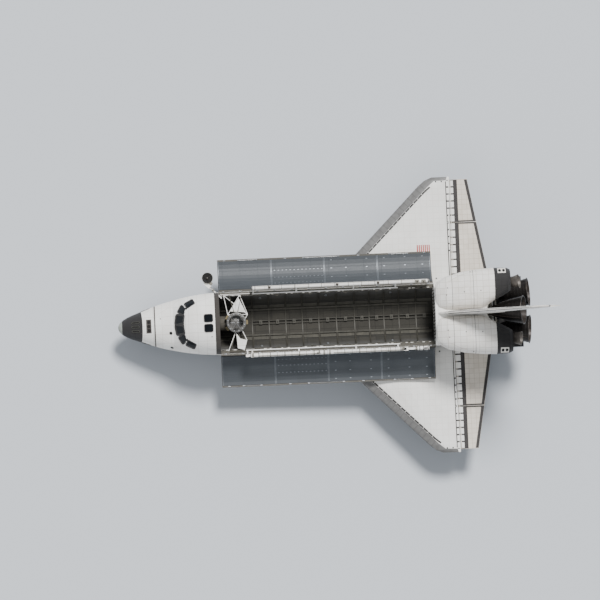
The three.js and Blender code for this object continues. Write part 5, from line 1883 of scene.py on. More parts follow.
    def _hinges(self) -> None:
        """The hinge fittings along each sill, clear of the door's swing."""
        fixed = Form()
        step = (self.back - self.front - 0.8) / (self.hinges - 1)
        for k in range(self.hinges):
            x = self.front + 0.4 + k * step
            low = (self.hinge_y - 0.09, self.hinge_z - 0.16)
            fixed.block((x - 0.09, low[0], low[1]), (x + 0.09, low[0] + 0.06, self.hinge_z - 0.03), 0.01)
            for lug in (-0.055, 0.055):
                fixed.pin((x + lug, self.hinge_y, self.hinge_z), AFT, 0.012, 0.045, 14)
            fixed.pin((x, self.hinge_y, self.hinge_z), AFT, 0.09, 0.018, 10)
        fixed.done("door_hinge_fittings", STEEL, mirrored=True)


@dataclass(frozen=True)
class Wings:
    """Seals of the leading edge, the hinge covers, dark trailing edges and a striped patch."""

    lead: tuple[Pair, ...] = (
        (19.482, 4.293), (21.285, 6.096), (23.127, 7.938), (25.349, 10.16), (26.365, 11.176),
        (26.924, 11.633))
    panels: int = 20
    hinge_x: float = 29.185
    cover_front: float = 28.72
    cover_back: float = 29.4
    band_back: float = 29.75
    cover_wide: float = 0.6
    spans: tuple[tuple[str, float, float], ...] = (("inner", 2.83, 7.92), ("outer", 7.955, 11.62))
    tail_band: float = 0.27
    stripes: int = 13
    patch: tuple[float, float, float, float] = (26.02, 27.14, 5.5, 6.08)
    tile_gap: float = 0.66
    root_tile_gap: float = 0.69
    tail_x: float = 32.695
    tail_sweep: float = 0.1773
    nose_radius: float = 0.3
    nose_taper: float = 0.225
    elevon_root: float = 2.69
    elevon_reach: float = 9.206
    cast_z: float = -1.5

    def build(self, nodes: Nodes) -> None:
        """Makes every piece of both wings.

        Args:
            nodes: the frame's nodes by name.
        """
        edge = Surface(nodes, "wing_leading_edge_starboard")
        skin = Surface(nodes, "wing_starboard")
        self._seals(edge)
        self._edge_tiles(skin)
        self._elevons(nodes)
        dark, tiles = Form(), Form()
        for _, near, far in self.spans:
            self._ladder(dark, tiles, skin, near + 0.3 * (near < 3), far, lambda y: self.cover_front, None)
        dark.done("wing_ladder_band", TILE_JOINT, mirrored=True)
        tiles.done("wing_ladder_covers", WING_TILES, mirrored=True)
        self._patch(skin)
        self._fittings(skin)

    def _along_lead(self, share: float) -> tuple[Vector, Vector]:
        """A place on the leading edge's plan line and the line's direction there.

        Args:
            share: how far along the line, from 0 to 1.

        Returns:
            The place and the direction.
        """
        points = [Vector((x, y, 0)) for x, y in self.lead]
        steps = [(b - a).length for a, b in zip(points, points[1:])]
        left = share * sum(steps)
        for a, b, step in zip(points, points[1:], steps):
            if left <= step or b is points[-1]:
                return a + (b - a) * min(left / step, 1.0), (b - a).normalized()
            left -= step
        return points[-1], (points[-1] - points[-2]).normalized()

    def _seals(self, edge: Surface) -> None:
        """A T-seal over each joint between the carbon panels.

        Args:
            edge: the leading edge's faces.
        """
        form = Form()
        for k in range(1, self.panels):
            place, aim = self._along_lead(k / self.panels)
            for line in edge.section(place, aim):
                middle = sum((p for p in line[:-1]), Vector()) / max(len(line) - 1, 1)
                loop = line[:-1] if (line[0] - line[-1]).length < 1e-4 else line
                reach = max(p.x for p in loop) - 0.02
                behind = [p for p in loop if p.x > reach]
                top, foot = max(behind, key=lambda p: p.z), min(behind, key=lambda p: p.z)
                start = loop.index(top)
                round_nose = [p for p in loop[start:] + loop[:start] if p.x <= reach]
                ends = sorted((top, foot), key=lambda p: (p - round_nose[0]).length)
                form.strap([ends[0], *round_nose, ends[1]], aim, middle, 0.045, 0.009)
        form.done("leading_edge_seals", SEAL_CARBON, mirrored=True)

    def _edge_tiles(self, skin: Surface) -> None:
        """A row of access tiles behind the carbon panels, each with a dark joint round it.

        Args:
            skin: the surface that carries the pieces.
        """
        dark, tiles = Form(), Form()
        count = self.panels
        for k in range(count):
            near, aim = self._along_lead((k + 0.04) / count)
            far, _ = self._along_lead((k + 0.96) / count)
            back = Vector((aim.y, -aim.x, 0))
            front, deep = self._behind(k / count), 0.3
            for form, start, proud, step in ((tiles, front + 0.15, 0.014, 0.15), (dark, front, 0.007, 0.06)):
                outline = [near + back * start, far + back * start, far + back * (front + deep),
                           near + back * (front + deep)]
                form.laid(skin, [p + Vector((0, 0, 0.5)) for p in outline], DOWN, proud, 0.02, step)
        dark.done("edge_tile_joints", TILE_JOINT, mirrored=True)
        tiles.done("edge_access_tiles", WING_TILES, mirrored=True)

    def _behind(self, share: float) -> float:
        """How far behind the plan line the carbon panels end, square to it."""
        return self.root_tile_gap if share < 1 / self.panels else self.tile_gap

    def _tail(self, y: float) -> float:
        """The trailing edge's place at a span."""
        return self.tail_x - self.tail_sweep * y

    def _elevons(self, nodes: Nodes) -> None:
        """White hinge covers outlined in black, a dark band behind them and a dark trailing edge.

        Args:
            nodes: the frame's nodes by name.
        """
        for where, near, far in self.spans:
            skin = Surface(nodes, f"elevon_{where}_starboard")
            dark, tiles = Form(), Form()
            root = 0.07 if where == "inner" else 0.0
            self._ladder(dark, tiles, skin, near, far, lambda y: self.hinge_x - 0.8 * self._nose_depth(y),
                         self.band_back)
            low, high = near + 0.02 + root, far - 0.02
            band = [(self._tail(near) - self.tail_band, low), (self._tail(near) - 0.012, low),
                    (self._tail(far) - 0.012, high), (self._tail(far) - self.tail_band, high)]
            dark.laid(skin, [(x, y, self.cast_z) for x, y in band], DOWN, 0.006, 0.008, 0.6)
            split = far - 0.14 if where == "inner" else near
            strip = [(self.cover_back, split + 0.01), (self._tail(split) - 0.1, split + 0.01),
                     (self._tail(split) - 0.1, split + 0.13), (self.cover_back, split + 0.13)]
            dark.laid(skin, [(x, y, self.cast_z) for x, y in strip], DOWN, 0.007, 0.008, 0.1)
            dark.both(f"elevon_{where}_bands", TILE_JOINT, f"elevon_{where}")
            tiles.both(f"elevon_{where}_hinge_covers", WING_TILES, f"elevon_{where}")

    def _nose_depth(self, y: float) -> float:
        """The radius of the elevon's rounded nose at a span."""
        return self.nose_radius - self.nose_taper * (y - self.elevon_root) / self.elevon_reach

    def _ladder(self, dark: Form, tiles: Form, skin: Surface, near: float, far: float,
                front: Callable[[float], float], back: float | None) -> None:
        """White hinge covers in a dark band.

        Args:
            dark: takes the band.
            tiles: takes the covers.
            skin: what they lie on.
            near: the inner end.
            far: the outer end.
            front: the front end at a span.
            back: the back end of the band, or None where the wing ends.
        """
        count = round((far - near) / self.cover_wide)
        step = (far - near) / count
        for k in range(count):
            low, high = near + k * step, near + (k + 1) * step
            ends = [back or self.hinge_x - 0.02 - self._nose_depth(y) for y in (low, high)]
            starts = [front(y) for y in (low, high)]
            inset = 0.08 if back is None else -0.02
            for form, lead, gap, last, proud, sunk in (
                    (dark, 0.0, 0.0, math.inf, 0.006, 0.008),
                    (tiles, inset, 0.065, self.cover_back, 0.014, 0.004)):
                outline = [(starts[0] + lead, low + gap), (min(ends[0], last), low + gap),
                           (min(ends[1], last), high - gap), (starts[1] + lead, high - gap)]
                form.laid(skin, [(x, y, self.cast_z) for x, y in outline], DOWN, proud, sunk, 0.1)

    def _patch(self, skin: Surface) -> None:
        """Plain red and white stripes on the starboard wing, with nothing in their corner.

        Args:
            skin: the surface that carries the pieces.
        """
        front, back, near, far = self.patch
        step = (back - front) / self.stripes
        for colour, finish, first in (("red", RED_PAINT, 0), ("white", BODY_TRIM, 1)):
            form = Form()
            for k in range(first, self.stripes, 2):
                low = front + k * step
                outline = ((low, near), (low + step, near), (low + step, far), (low, far))
                form.laid(skin, [(x, y, -1.0) for x, y in outline], DOWN, 0.009, 0.006, 0.6)
            form.done(f"{colour}_stripes", finish)

    def _fittings(self, skin: Surface) -> None:
        """Small vents near the tips and along the root.

        Args:
            skin: the surface that carries the pieces.
        """
        form = Form()
        for x, y in ((27.9, 11.5), (28.4, 11.5), (20.3, 3.1), (22.6, 3.1), (25.2, 3.1), (27.6, 3.15)):
            form.pressed(Spot(skin, (x, y, -2.0), DOWN, AFT, (0.06, 0.06), 0.03), pad(0.006))
        form.done("wing_fittings", DARK_TRIM, mirrored=True)


@dataclass(frozen=True)
class Pods:
    """The thrusters, joints, ports and small bells of the rear pods."""

    block_x: float = 32.23
    patch_centre: Point = (32.85, 3.3, 2.6)
    bell: tuple[float, ...] = (32.512, 2.235, 2.337, 15.8, 6.5)

    def build(self, nodes: Nodes) -> None:
        """Makes every piece of both pods.

        Args:
            nodes: the frame's nodes by name.
        """
        skin = Surface(nodes, "rear_pod_starboard")
        self._joints(skin)
        self._thrusters(skin)
        self._marks(skin)
        self._bells()

    def _joints(self, skin: Surface) -> None:
        """Dark joints round the pod: behind its nose and ahead of its thruster block.

        Args:
            skin: the surface that carries the pieces.
        """
        form = Form()
        for x, width in ((self.block_x, 0.05), (28.6, 0.03), (30.4, 0.03)):
            form.hoops(skin, (x, 0, 0), AFT, width, 0.006)
        form.done("pod_joints", TILE_JOINT, mirrored=True)

    def _thrusters(self, skin: Surface) -> None:
        """A white panel with thrusters that fire upward, and four that fire outboard.

        Args:
            skin: the surface that carries the pieces.
        """
        panels, lips, throats = Form(), Form(), Form()
        x, y, z = self.patch_centre
        panels.laid(skin, quad((x, y + 0.08, 4), (0.35, 0, 0), (0, 0.21, 0)), DOWN, 0.014, 0.02, 0.12)
        places = [((x + step, y + 0.08, z + 1.4), DOWN) for step in (-0.17, 0.17)]
        panels.laid(skin, quad((x, 6, z - 0.75), (0.36, 0, 0), (0, 0, 0.3)), PORT, 0.014, 0.02, 0.12)
        places += [((x + a, 6.0, z - 0.75 + b), PORT) for a in (-0.18, 0.18) for b in (-0.15, 0.15)]
        for centre, aim in places:
            lips.laid(skin, disc(centre, aim, 0.125), aim, 0.018, 0.0, 0.08)
            throats.laid(skin, disc(centre, aim, 0.1), aim, 0.024, 0.0, 0.08)
        panels.done("pod_thruster_panels", BODY_TRIM, mirrored=True)
        lips.done("pod_thruster_lips", NOZZLE, mirrored=True)
        throats.done("pod_thruster_throats", SOOT, mirrored=True)

    def _marks(self, skin: Surface) -> None:
        """Small vents and fill ports near the pod's inner edge and along its side.

        Args:
            skin: the surface that carries the pieces.
        """
        form = Form()
        for x, y in ((28.1, 1.5), (28.2, 2.1), (29.6, 1.7), (31.0, 1.75), (30.2, 3.4)):
            form.pressed(Spot(skin, (x, y, 2.6), DOWN, AFT, (0.045, 0.045), 0.03), pad(0.006))
        for x, z in ((29.2, 1.7), (30.9, 1.6), (31.5, 2.0)):
            form.pressed(Spot(skin, (x, 4.0, z), PORT, UP, (0.12, 0.09), 0.02), pad(0.006))
        form.done("pod_ports", DARK_TRIM, mirrored=True)

    def _bells(self) -> None:
        """A stiff lip, bands and a seat ring on each small bell."""
        frame = bell_frame(*self.bell)
        rings, seat = Form(), Form()
        for along, reach in ((1.06, 0.36), (1.42, 0.475), (1.88, 0.588)):
            rings.turned(((along - 0.014, reach - 0.014), (along - 0.014, reach + 0.012),
                          (along + 0.014, reach + 0.014), (along + 0.014, reach - 0.01)), ORIGIN, AFT, 36)
        seat.turned(((0.56, 0.16), (0.6, 0.245), (0.66, 0.235), (0.66, 0.16)), ORIGIN, AFT, 30)
        for form, name in ((rings, "small_bell_bands"), (seat, "small_bell_seats")):
            form.mesh.transform(frame)
            form.done(name, SMALL_BELL, mirrored=True)


def bell_frame(x: float, y: float, z: float, pitch_deg: float, yaw_deg: float) -> Matrix:
    """The frame of an engine, with x running down its bell."""
    turn = Matrix.Rotation(math.radians(yaw_deg), 4, "Z") @ Matrix.Rotation(math.radians(-pitch_deg), 4, "Y")
    return Matrix.Translation((x, y, z)) @ turn


@dataclass(frozen=True)
class Engines:
    """The bands, pipes, lips and tube walls of the three main bells, and their heat shields."""

    frames: tuple[tuple[str, float, float, float, float, float], ...] = (
        ("upper", 30.658, 0.0, 1.0922, 16.0, 0.0), ("right", 31.242, 1.3462, -1.458, 10.0, 3.5),
        ("left", 31.242, -1.3462, -1.458, 10.0, -3.5))
    start: float = 1.15
    end: float = 4.2
    throat: float = 0.27
    mouth: float = 1.195
    bands: tuple[float, ...] = (0.14, 0.24, 0.34, 0.44, 0.54, 0.64, 0.74, 0.83, 0.91)
    wall_tubes: int = 72

    def _reach(self, share: float) -> float:
        """The bell's outer radius at a share of its length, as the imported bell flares.

        Args:
            share: how far down the bell, from 0 to 1.

        Returns:
            The radius.
        """
        steps = (0.0, 0.12, 0.32, 0.6, 1.0)
        flare = [self.throat + (self.mouth - self.throat) * (1.55 * t - 0.55 * t * t) for t in steps]
        for low, high, a, b in zip(steps, steps[1:], flare, flare[1:]):
            if share <= high:
                return a + (b - a) * (share - low) / (high - low)
        return flare[-1]

    def build(self, nodes: Nodes) -> None:
        """Makes every piece of the three engines.

        Args:
            nodes: the frame's nodes by name; not used here.
        """
        for name, *place in self.frames:
            frame = bell_frame(*place)
            self._bell(f"engine_{name}", frame)
            self._head(f"engine_{name}", frame)
            self._shield(name, frame)

    def _finish(self, form: Form, name: str, finish: Finish, body: str, frame: Matrix) -> None:
        """Moves a piece from its engine's frame and makes it."""
        form.mesh.transform(frame)
        form.done(name, finish, body)

    def _bell(self, body: str, frame: Matrix) -> None:
        """Hat bands round the bell, the coolant ring at its lip, drain lines and the tube wall inside.

        Args:
            body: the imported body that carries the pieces.
            frame: the frame of the engine, x down its bell.
        """
        span = self.end - self.start
        bands, lip, lines, wall = Form(), Form(), Form(), Form()
        for share in self.bands:
            along, reach = self.start + share * span, self._reach(share)
            bands.turned(((along - 0.035, reach - 0.02), (along - 0.028, reach + 0.012),
                          (along + 0.028, reach + 0.015), (along + 0.035, reach - 0.01)), ORIGIN, AFT, 44)
        ring = [(self.end - 0.05 + 0.035 * math.cos(t), self.mouth + 0.012 + 0.035 * math.sin(t))
                for t in turns(8)]
        lip.turned(ring, ORIGIN, AFT, 48)
        for turn in (0.6, 2.2, 3.9, 5.3):
            lines.tube([Vector((self.start + share * span, 0, 0)) + spoke(turn, self._reach(share) + 0.05)
                        for share in (0.1, 0.3, 0.5, 0.7, 0.96)], 0.028, 8)
        for turn in turns(self.wall_tubes):
            path = [Vector((self.start + 0.06 + share * (span - 0.06), 0, 0))
                    + spoke(turn, self._reach(share) - 0.046) for share in (0.1, 0.12, 0.32, 0.6, 0.985)]
            wall.tube(path, [0.006, 0.008, 0.011, 0.014, 0.016], 5)
        self._finish(bands, f"{body}_hat_bands", NOZZLE, body, frame)
        self._finish(lip, f"{body}_lip_ring", STEEL_DARK, body, frame)
        self._finish(lines, f"{body}_drain_lines", STEEL_DARK, body, frame)
        self._finish(wall, f"{body}_tube_wall", BELL_INSIDE, body, frame)

    def _head(self, body: str, frame: Matrix) -> None:
        """The pumps and ducts round the head of the engine, close to the bell's throat.

        Args:
            body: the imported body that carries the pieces.
            frame: the frame of the engine, x down its bell.
        """
        form = Form()
        for turn, along, size in ((0.9, 0.55, 0.12), (2.3, 0.6, 0.1), (3.9, 0.55, 0.12), (5.4, 0.62, 0.1)):
            out = spoke(turn)
            base = Vector((along, 0, 0)) + out * 0.36
            form.turned(((-0.22, 0.0), (-0.2, size * 0.8), (-0.1, size), (0.12, size), (0.2, size * 0.7),
                         (0.22, 0.0)), base, AFT, 18)
            end = Vector((1.12, 0, 0)) + out * 0.3
            form.tube([base + Vector((0.2, 0, 0)), base + Vector((0.34, 0, 0)) + out * 0.02, end], 0.045, 8)
        form.turned(((1.08, 0.24), (1.08, 0.36), (1.12, 0.385), (1.18, 0.37), (1.2, 0.3), (1.2, 0.24)),
                    ORIGIN, AFT, 36)
        self._finish(form, f"{body}_pumps", STEEL_DARK, body, frame)

    def _shield(self, name: str, frame: Matrix) -> None:
        """A blanketed heat shield round the throat, fixed to the hull's recess, in gored segments.

        Args:
            name: the engine's name.
            frame: the frame of the engine, x down its bell.
        """
        form = Form()
        for k in range(16):
            low, middle, high = (math.tau * (k + share) / 16 for share in (0.04, 0.5, 0.96))
            rings = []
            for along, reach in ((1.02, 0.76), (1.16, 0.8), (1.25, 0.92), (1.2, 1.04)):
                rings.append([Vector((along + lift, reach * math.cos(t), reach * math.sin(t)))
                              for t, lift in ((low, 0.0), (middle, 0.015), (high, 0.0), (high, -0.03),
                                              (middle, -0.02), (low, -0.03))])
            form.rings(rings)
        self._finish(form, f"heat_shield_{name}", SHIELD_CLOTH, "airframe", frame)


@dataclass(frozen=True)
class Fin:
    """The edge tiles and tile rows of the fin, and the joints of its speed brake."""

    sweep_deg: float = 34.83
    hinge_foot: Point = (31.4325, 0.0, 3.505)
    hinge_length: float = 8.4
    edge_foot: float = 3.4
    edge_top: float = 9.9
    edge_tiles: int = 22

    def build(self, nodes: Nodes) -> None:
        """Makes every piece of the fin.

        Args:
            nodes: the frame's nodes by name.
        """
        fin = Surface(nodes, "fin")
        brake = Surface(nodes, "rudder_panel_starboard")
        self._edge(fin)
        self._bands(fin)
        self._panels(brake)

    def _edge(self, fin: Surface) -> None:
        """Black tiles along the fin's leading edge.

        Args:
            fin: the fin's faces.
        """
        form = Form()
        height = (self.edge_top - self.edge_foot) / self.edge_tiles
        for side in (1, -1):
            for k in range(self.edge_tiles):
                low = self.edge_foot + height * k
                heights = (low + 0.008, low + height - 0.008)
                front = [self._lead(fin, z, side) for z in heights]
                if None in front:
                    continue
                outline = [(front[end] + back, side * 1.5, heights[end])
                           for end, back in ((0, 0.012), (0, 0.2), (1, 0.2), (1, 0.012))]
                form.laid(fin, outline, (0, -side, 0), 0.01, 0.01, 0.08)
        form.done("fin_edge_tiles", BLACK_TILES)

    @staticmethod
    def _lead(fin: Surface, z: float, side: int) -> float | None:
        """How far aft the fin's leading edge lies at a height."""
        met = fin.hit(Vector((20.0, side * 0.012, z)), Vector(AFT))
        return None if met is None else met[0].x

    def _bands(self, fin: Surface) -> None:
        """Dark tile rows on both sides of the fin, ending ahead of the speed brake.

        Args:
            fin: the fin's faces.
        """
        form = Form()
        foot, slope = Vector(self.hinge_foot), math.tan(math.radians(self.sweep_deg))
        for z, width in ((3.2, 0.05), (5.6, 0.03), (8.0, 0.03), (10.0, 0.07)):
            last = foot.x + slope * (z - foot.z) - 0.35
            for line in fin.section((0, 0, z), UP):
                for side in (1, -1):
                    run = sorted((p for p in line if p.y * side > 0 and p.x < last), key=lambda p: p.x)
                    if len(run) > 2:
                        form.strap(run, UP, Vector((last, -5.0 * side, z)), width, 0.006)
        form.done("fin_tile_rows", TILE_JOINT)

    def _panels(self, brake: Surface) -> None:
        """Joints across each speed brake panel, at right angles to its hinge.

        Args:
            brake: the speed brake panel's faces.
        """
        lean = math.radians(self.sweep_deg)
        aim = Vector((math.sin(lean), 0, math.cos(lean)))
        foot = Vector(self.hinge_foot)
        joints = Form()
        for share in (0.16, 0.33, 0.5, 0.67, 0.84):
            place = foot + aim * (self.hinge_length * share)
            for line in brake.section(place, aim):
                outer = sorted((p for p in line if p.y > 0.03), key=lambda p: p.x)
                joints.strap(outer, aim, Vector((place.x + 0.5, -1.0, place.z)), 0.035, 0.006)
        joints.both("brake_joints", TILE_JOINT, "brake")


@dataclass(frozen=True)
class BodyFlap:
    """The joints round the body flap."""

    joint_step: float = 0.66
    joints_a_side: int = 4

    def build(self, nodes: Nodes) -> None:
        """Makes every piece of the body flap.

        Args:
            nodes: the frame's nodes by name.
        """
        flap = Surface(nodes, "body_flap")
        form = Form()
        for k in range(-self.joints_a_side, self.joints_a_side + 1):
            form.hoops(flap, (0, k * self.joint_step, 0), STARBOARD, 0.025, 0.005)
        form.done("flap_joints", STRUCTURE, "flap")


def ring_band(form: Form, base: Point, along: float, radius: float, half: float = 0.03,
              lift: float = 0.008) -> None:
    """Adds a softened band round a tube that runs along x.

    Args:
        form: the form to add to.
        base: a point on the tube's axis.
        along: the band's place along x, from the base.
        radius: the tube's radius.
        half: half the band's width.
        lift: how far it stands out.
    """
    low, shoulder, top = radius - 0.01, radius + lift * 0.6, radius + lift
    form.turned(((along - half, low), (along - half, shoulder), (along - half * 0.8, top),
                 (along + half * 0.8, top), (along + half, shoulder), (along + half, low)), base, AFT, 28)


@dataclass(frozen=True)
class Arm:
    """The manipulator arm's bands, harness, joint covers, cameras and snare, and its cradle latches."""

    y: float = -2.875
    z: float = 0.988
    radius: float = 0.165
    upper: tuple[float, ...] = (11.95, 12.95, 14.2, 15.45, 16.7, 17.25)
    fore: tuple[float, ...] = (18.35, 19.3, 20.6, 21.9, 23.2, 24.1)
    cradles: tuple[float, ...] = (11.0, 15.4, 20.3, 23.9)

    def build(self, nodes: Nodes) -> None:
        """Makes every piece of the arm.

        Args:
            nodes: the frame's nodes by name; not used here.
        """
        self._boom("upper_arm", self.upper, 0.165)
        self._boom("forearm", self.fore, 0.16)
        self._joints()
        self._camera("upper_arm", 17.05)
        self._camera("forearm", 24.3)
        self._hand()
        self._latches()

    def _boom(self, body: str, bands: Sequence[float], radius: float) -> None:
        """The dark and white bands and the clamped harness of one boom.

        Args:
            body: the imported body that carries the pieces.
            bands: where the bands stand.
            radius: the boom's radius.
        """
        base = (0.0, self.y, self.z)
        dark, pale, wires = Form(), Form(), Form()
        for number, x in enumerate(bands):
            ring_band(dark if number in (0, len(bands) - 1) else pale, base, x, radius)
        for turn, size in ((0.35, 0.018), (0.55, 0.013)):
            out = Vector((0, -math.sin(turn), math.cos(turn))) * (radius + 0.014)
            wires.tube([Vector((x, self.y, self.z)) + out for x in (bands[0], bands[2], bands[-1])], size, 8)
        clamps = Form()
        for x in numpy.arange(bands[0] + 0.35, bands[-1] - 0.2, 0.62):
            ring_band(clamps, base, float(x), radius, 0.012, 0.03)
        dark.done(f"{body}_end_bands", DARK_TRIM, body)
        pale.done(f"{body}_bands", TRAY, body)
        wires.done(f"{body}_harness", TRAY, body)
        clamps.done(f"{body}_clamps", STEEL_DARK, body)

    def _joints(self) -> None:
        """Ribbed motor covers at the shoulder, elbow, wrist and hand."""
        covers = {"upper_arm": ((11.45, 0.2), (17.55, 0.18)), "forearm": ((18.02, 0.18), (24.25, 0.165)),
                  "palm": ((25.45, 0.15),)}
        for body, places in covers.items():
            form, bolts = Form(), Form()
            for x, reach in places:
                for step in (-0.06, 0.0, 0.06):
                    ring_band(form, (0.0, self.y, self.z), x + step, reach, 0.022, 0.012)
                for out in map(spoke, turns(8, math.pi / 8)):
                    bolts.turned(((-0.02, 0.0), (-0.02, 0.02), (0.014, 0.016), (0.018, 0.0)),
                                 Vector((x + 0.03, self.y, self.z)) + out * reach, out, 8)
            form.done(f"{body}_motor_covers", TRAY, body)
            bolts.done(f"{body}_motor_bolts", STEEL_DARK, body)

    def _camera(self, body: str, x: float) -> None:
        """A camera with its lamp on a short bracket above the boom.

        Args:
            body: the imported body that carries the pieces.
            x: the camera's place along the arm.
        """
        case, lens = Form(), Form()
        top = self.z + self.radius
        case.block((x - 0.03, self.y - 0.03, top - 0.02), (x + 0.03, self.y + 0.03, top + 0.05), 0.01)
        case.block((x - 0.13, self.y - 0.05, top + 0.04), (x + 0.1, self.y + 0.05, top + 0.13), 0.016)
        case.turned(((0.0, 0.0), (0.0, 0.045), (0.1, 0.05), (0.12, 0.045), (0.12, 0.03), (0.08, 0.03),
                     (0.08, 0.0)), (x + 0.02, self.y + 0.11, top + 0.06), AFT, 16)
        case.tube([(x, self.y, top + 0.06), (x + 0.04, self.y + 0.1, top + 0.06)], 0.014, 8)
        lens.turned(((0.0, 0.0), (0.0, 0.036), (0.03, 0.038), (0.04, 0.03), (0.042, 0.0)),
                    (x + 0.095, self.y, top + 0.085), AFT, 16)
        case.done(f"{body}_camera", TRAY, body)
        lens.done(f"{body}_camera_lens", SOOT, body)

    def _hand(self) -> None:
        """The snare drum: bands, a dark open mouth with its ring, a grip rail and a target camera."""
        base = (0.0, self.y, self.z)
        bands, mouth = Form(), Form()
        for x, half in ((25.72, 0.04), (26.05, 0.03), (26.44, 0.04)):
            ring_band(bands, base, x, 0.17, half, 0.01)
        mouth.turned(((26.47, 0.0), (26.47, 0.16), (26.531, 0.165), (26.536, 0.13), (26.536, 0.0)),
                     base, AFT, 28)
        for turn in (0.2, 2.3, 4.4):
            bands.tube([Vector((x, self.y, self.z)) + spoke(turn, reach) for x, reach in
                        ((25.8, 0.165), (25.8, 0.2), (26.3, 0.2), (26.3, 0.165))], 0.012, 8)
        bands.block((26.1, self.y - 0.05, self.z + 0.16), (26.38, self.y + 0.05, self.z + 0.235), 0.012)
        bands.done("hand_bands", STEEL_DARK, "hand")
        mouth.done("hand_mouth", SOOT, "hand")

    def _latches(self) -> None:
        """A jaw either side of the arm on each cradle post."""
        form = Form()
        for x in self.cradles:
            low = self.z - self.radius - 0.075
            for side in (-1, 1):
                near, far = sorted((self.y + side * 0.11, self.y + side * 0.14))
                form.block((x - 0.06, near, low), (x + 0.06, far, self.z - 0.125), 0.008)
                form.pin((x, self.y + side * 0.128, low + 0.04), AFT, 0.07, 0.016, 12)
        form.done("arm_cradle_latches", STEEL_DARK, "cradle")


@dataclass(frozen=True)
class SensorBoom:
    """The inspection boom's bands, grapple posts, harness and sensor packages."""

    y: float = 2.875
    z: float = 0.988
    radius: float = 0.15
    front: float = 11.56
    back: float = 26.76
    posts: tuple[float, ...] = (13.1, 18.9, 22.4)

    def build(self, nodes: Nodes) -> None:
        """Makes every piece of the boom.

        Args:
            nodes: the frame's nodes by name; not used here.
        """
        base = (0.0, self.y, self.z)
        dark, pale = Form(), Form()
        for number, x in enumerate(numpy.linspace(self.front + 0.3, self.back - 1.2, 13)):
            ring_band(dark if number % 3 == 0 else pale, base, float(x), self.radius, 0.026, 0.007)
        for x in (self.front + 0.05, self.back - 0.06):
            ring_band(dark, base, x, self.radius, 0.04, 0.016)
        wire = Form()
        stations = numpy.linspace(self.front + 0.1, self.back - 1.3, 9)
        wire.tube([(float(x), self.y + 0.1, self.z + 0.126) for x in stations], 0.014, 8)
        dark.done("boom_dark_bands", DARK_TRIM, "boom")
        pale.done("boom_bands", TRAY, "boom")
        wire.done("boom_harness", TRAY, "boom")
        self._grapples()
        self._sensors()

    def _grapples(self) -> None:
        """Grapple posts, each a pin on a round plate with three cams."""
        form = Form()
        for x in self.posts:
            foot = (x, self.y, self.z + self.radius - 0.02)
            form.turned(((0.0, 0.0), (0.0, 0.11), (0.035, 0.115), (0.045, 0.1), (0.045, 0.02), (0.13, 0.016),
                         (0.15, 0.03), (0.17, 0.028), (0.175, 0.0)), foot, UP, 20)
            for turn in turns(3):
                place = Vector(foot) + Vector((0.075 * math.cos(turn), 0.075 * math.sin(turn), 0.04))
                form.turned(((0.0, 0.0), (0.0, 0.02), (0.03, 0.016), (0.034, 0.0)), place, UP, 10)
        form.done("boom_grapple_posts", STEEL_DARK, "boom")

    def _sensors(self) -> None:
        """The laser and camera heads at the aft end, in film-wrapped cases."""
        cases, lenses = Form(), Form()
        for x, reach, high in ((25.75, 0.19, 0.16), (26.3, 0.16, 0.2)):
            cases.block((x - 0.2, self.y - reach, self.z - 0.08),
                        (x + 0.2, self.y + 0.1, self.z + high), 0.03)
            cases.turned(((0.0, 0.0), (0.0, 0.07), (0.06, 0.07), (0.07, 0.06), (0.07, 0.0)),
                         (x, self.y - 0.05, self.z + high - 0.01), UP, 18)
            lenses.turned(((0.0, 0.0), (0.0, 0.048), (0.008, 0.046), (0.01, 0.0)),
                          (x, self.y - 0.05, self.z + high + 0.06), UP, 18)
        cases.done("boom_sensor_cases", TRAY, "boom")
        lenses.done("boom_sensor_lenses", SOOT, "boom")


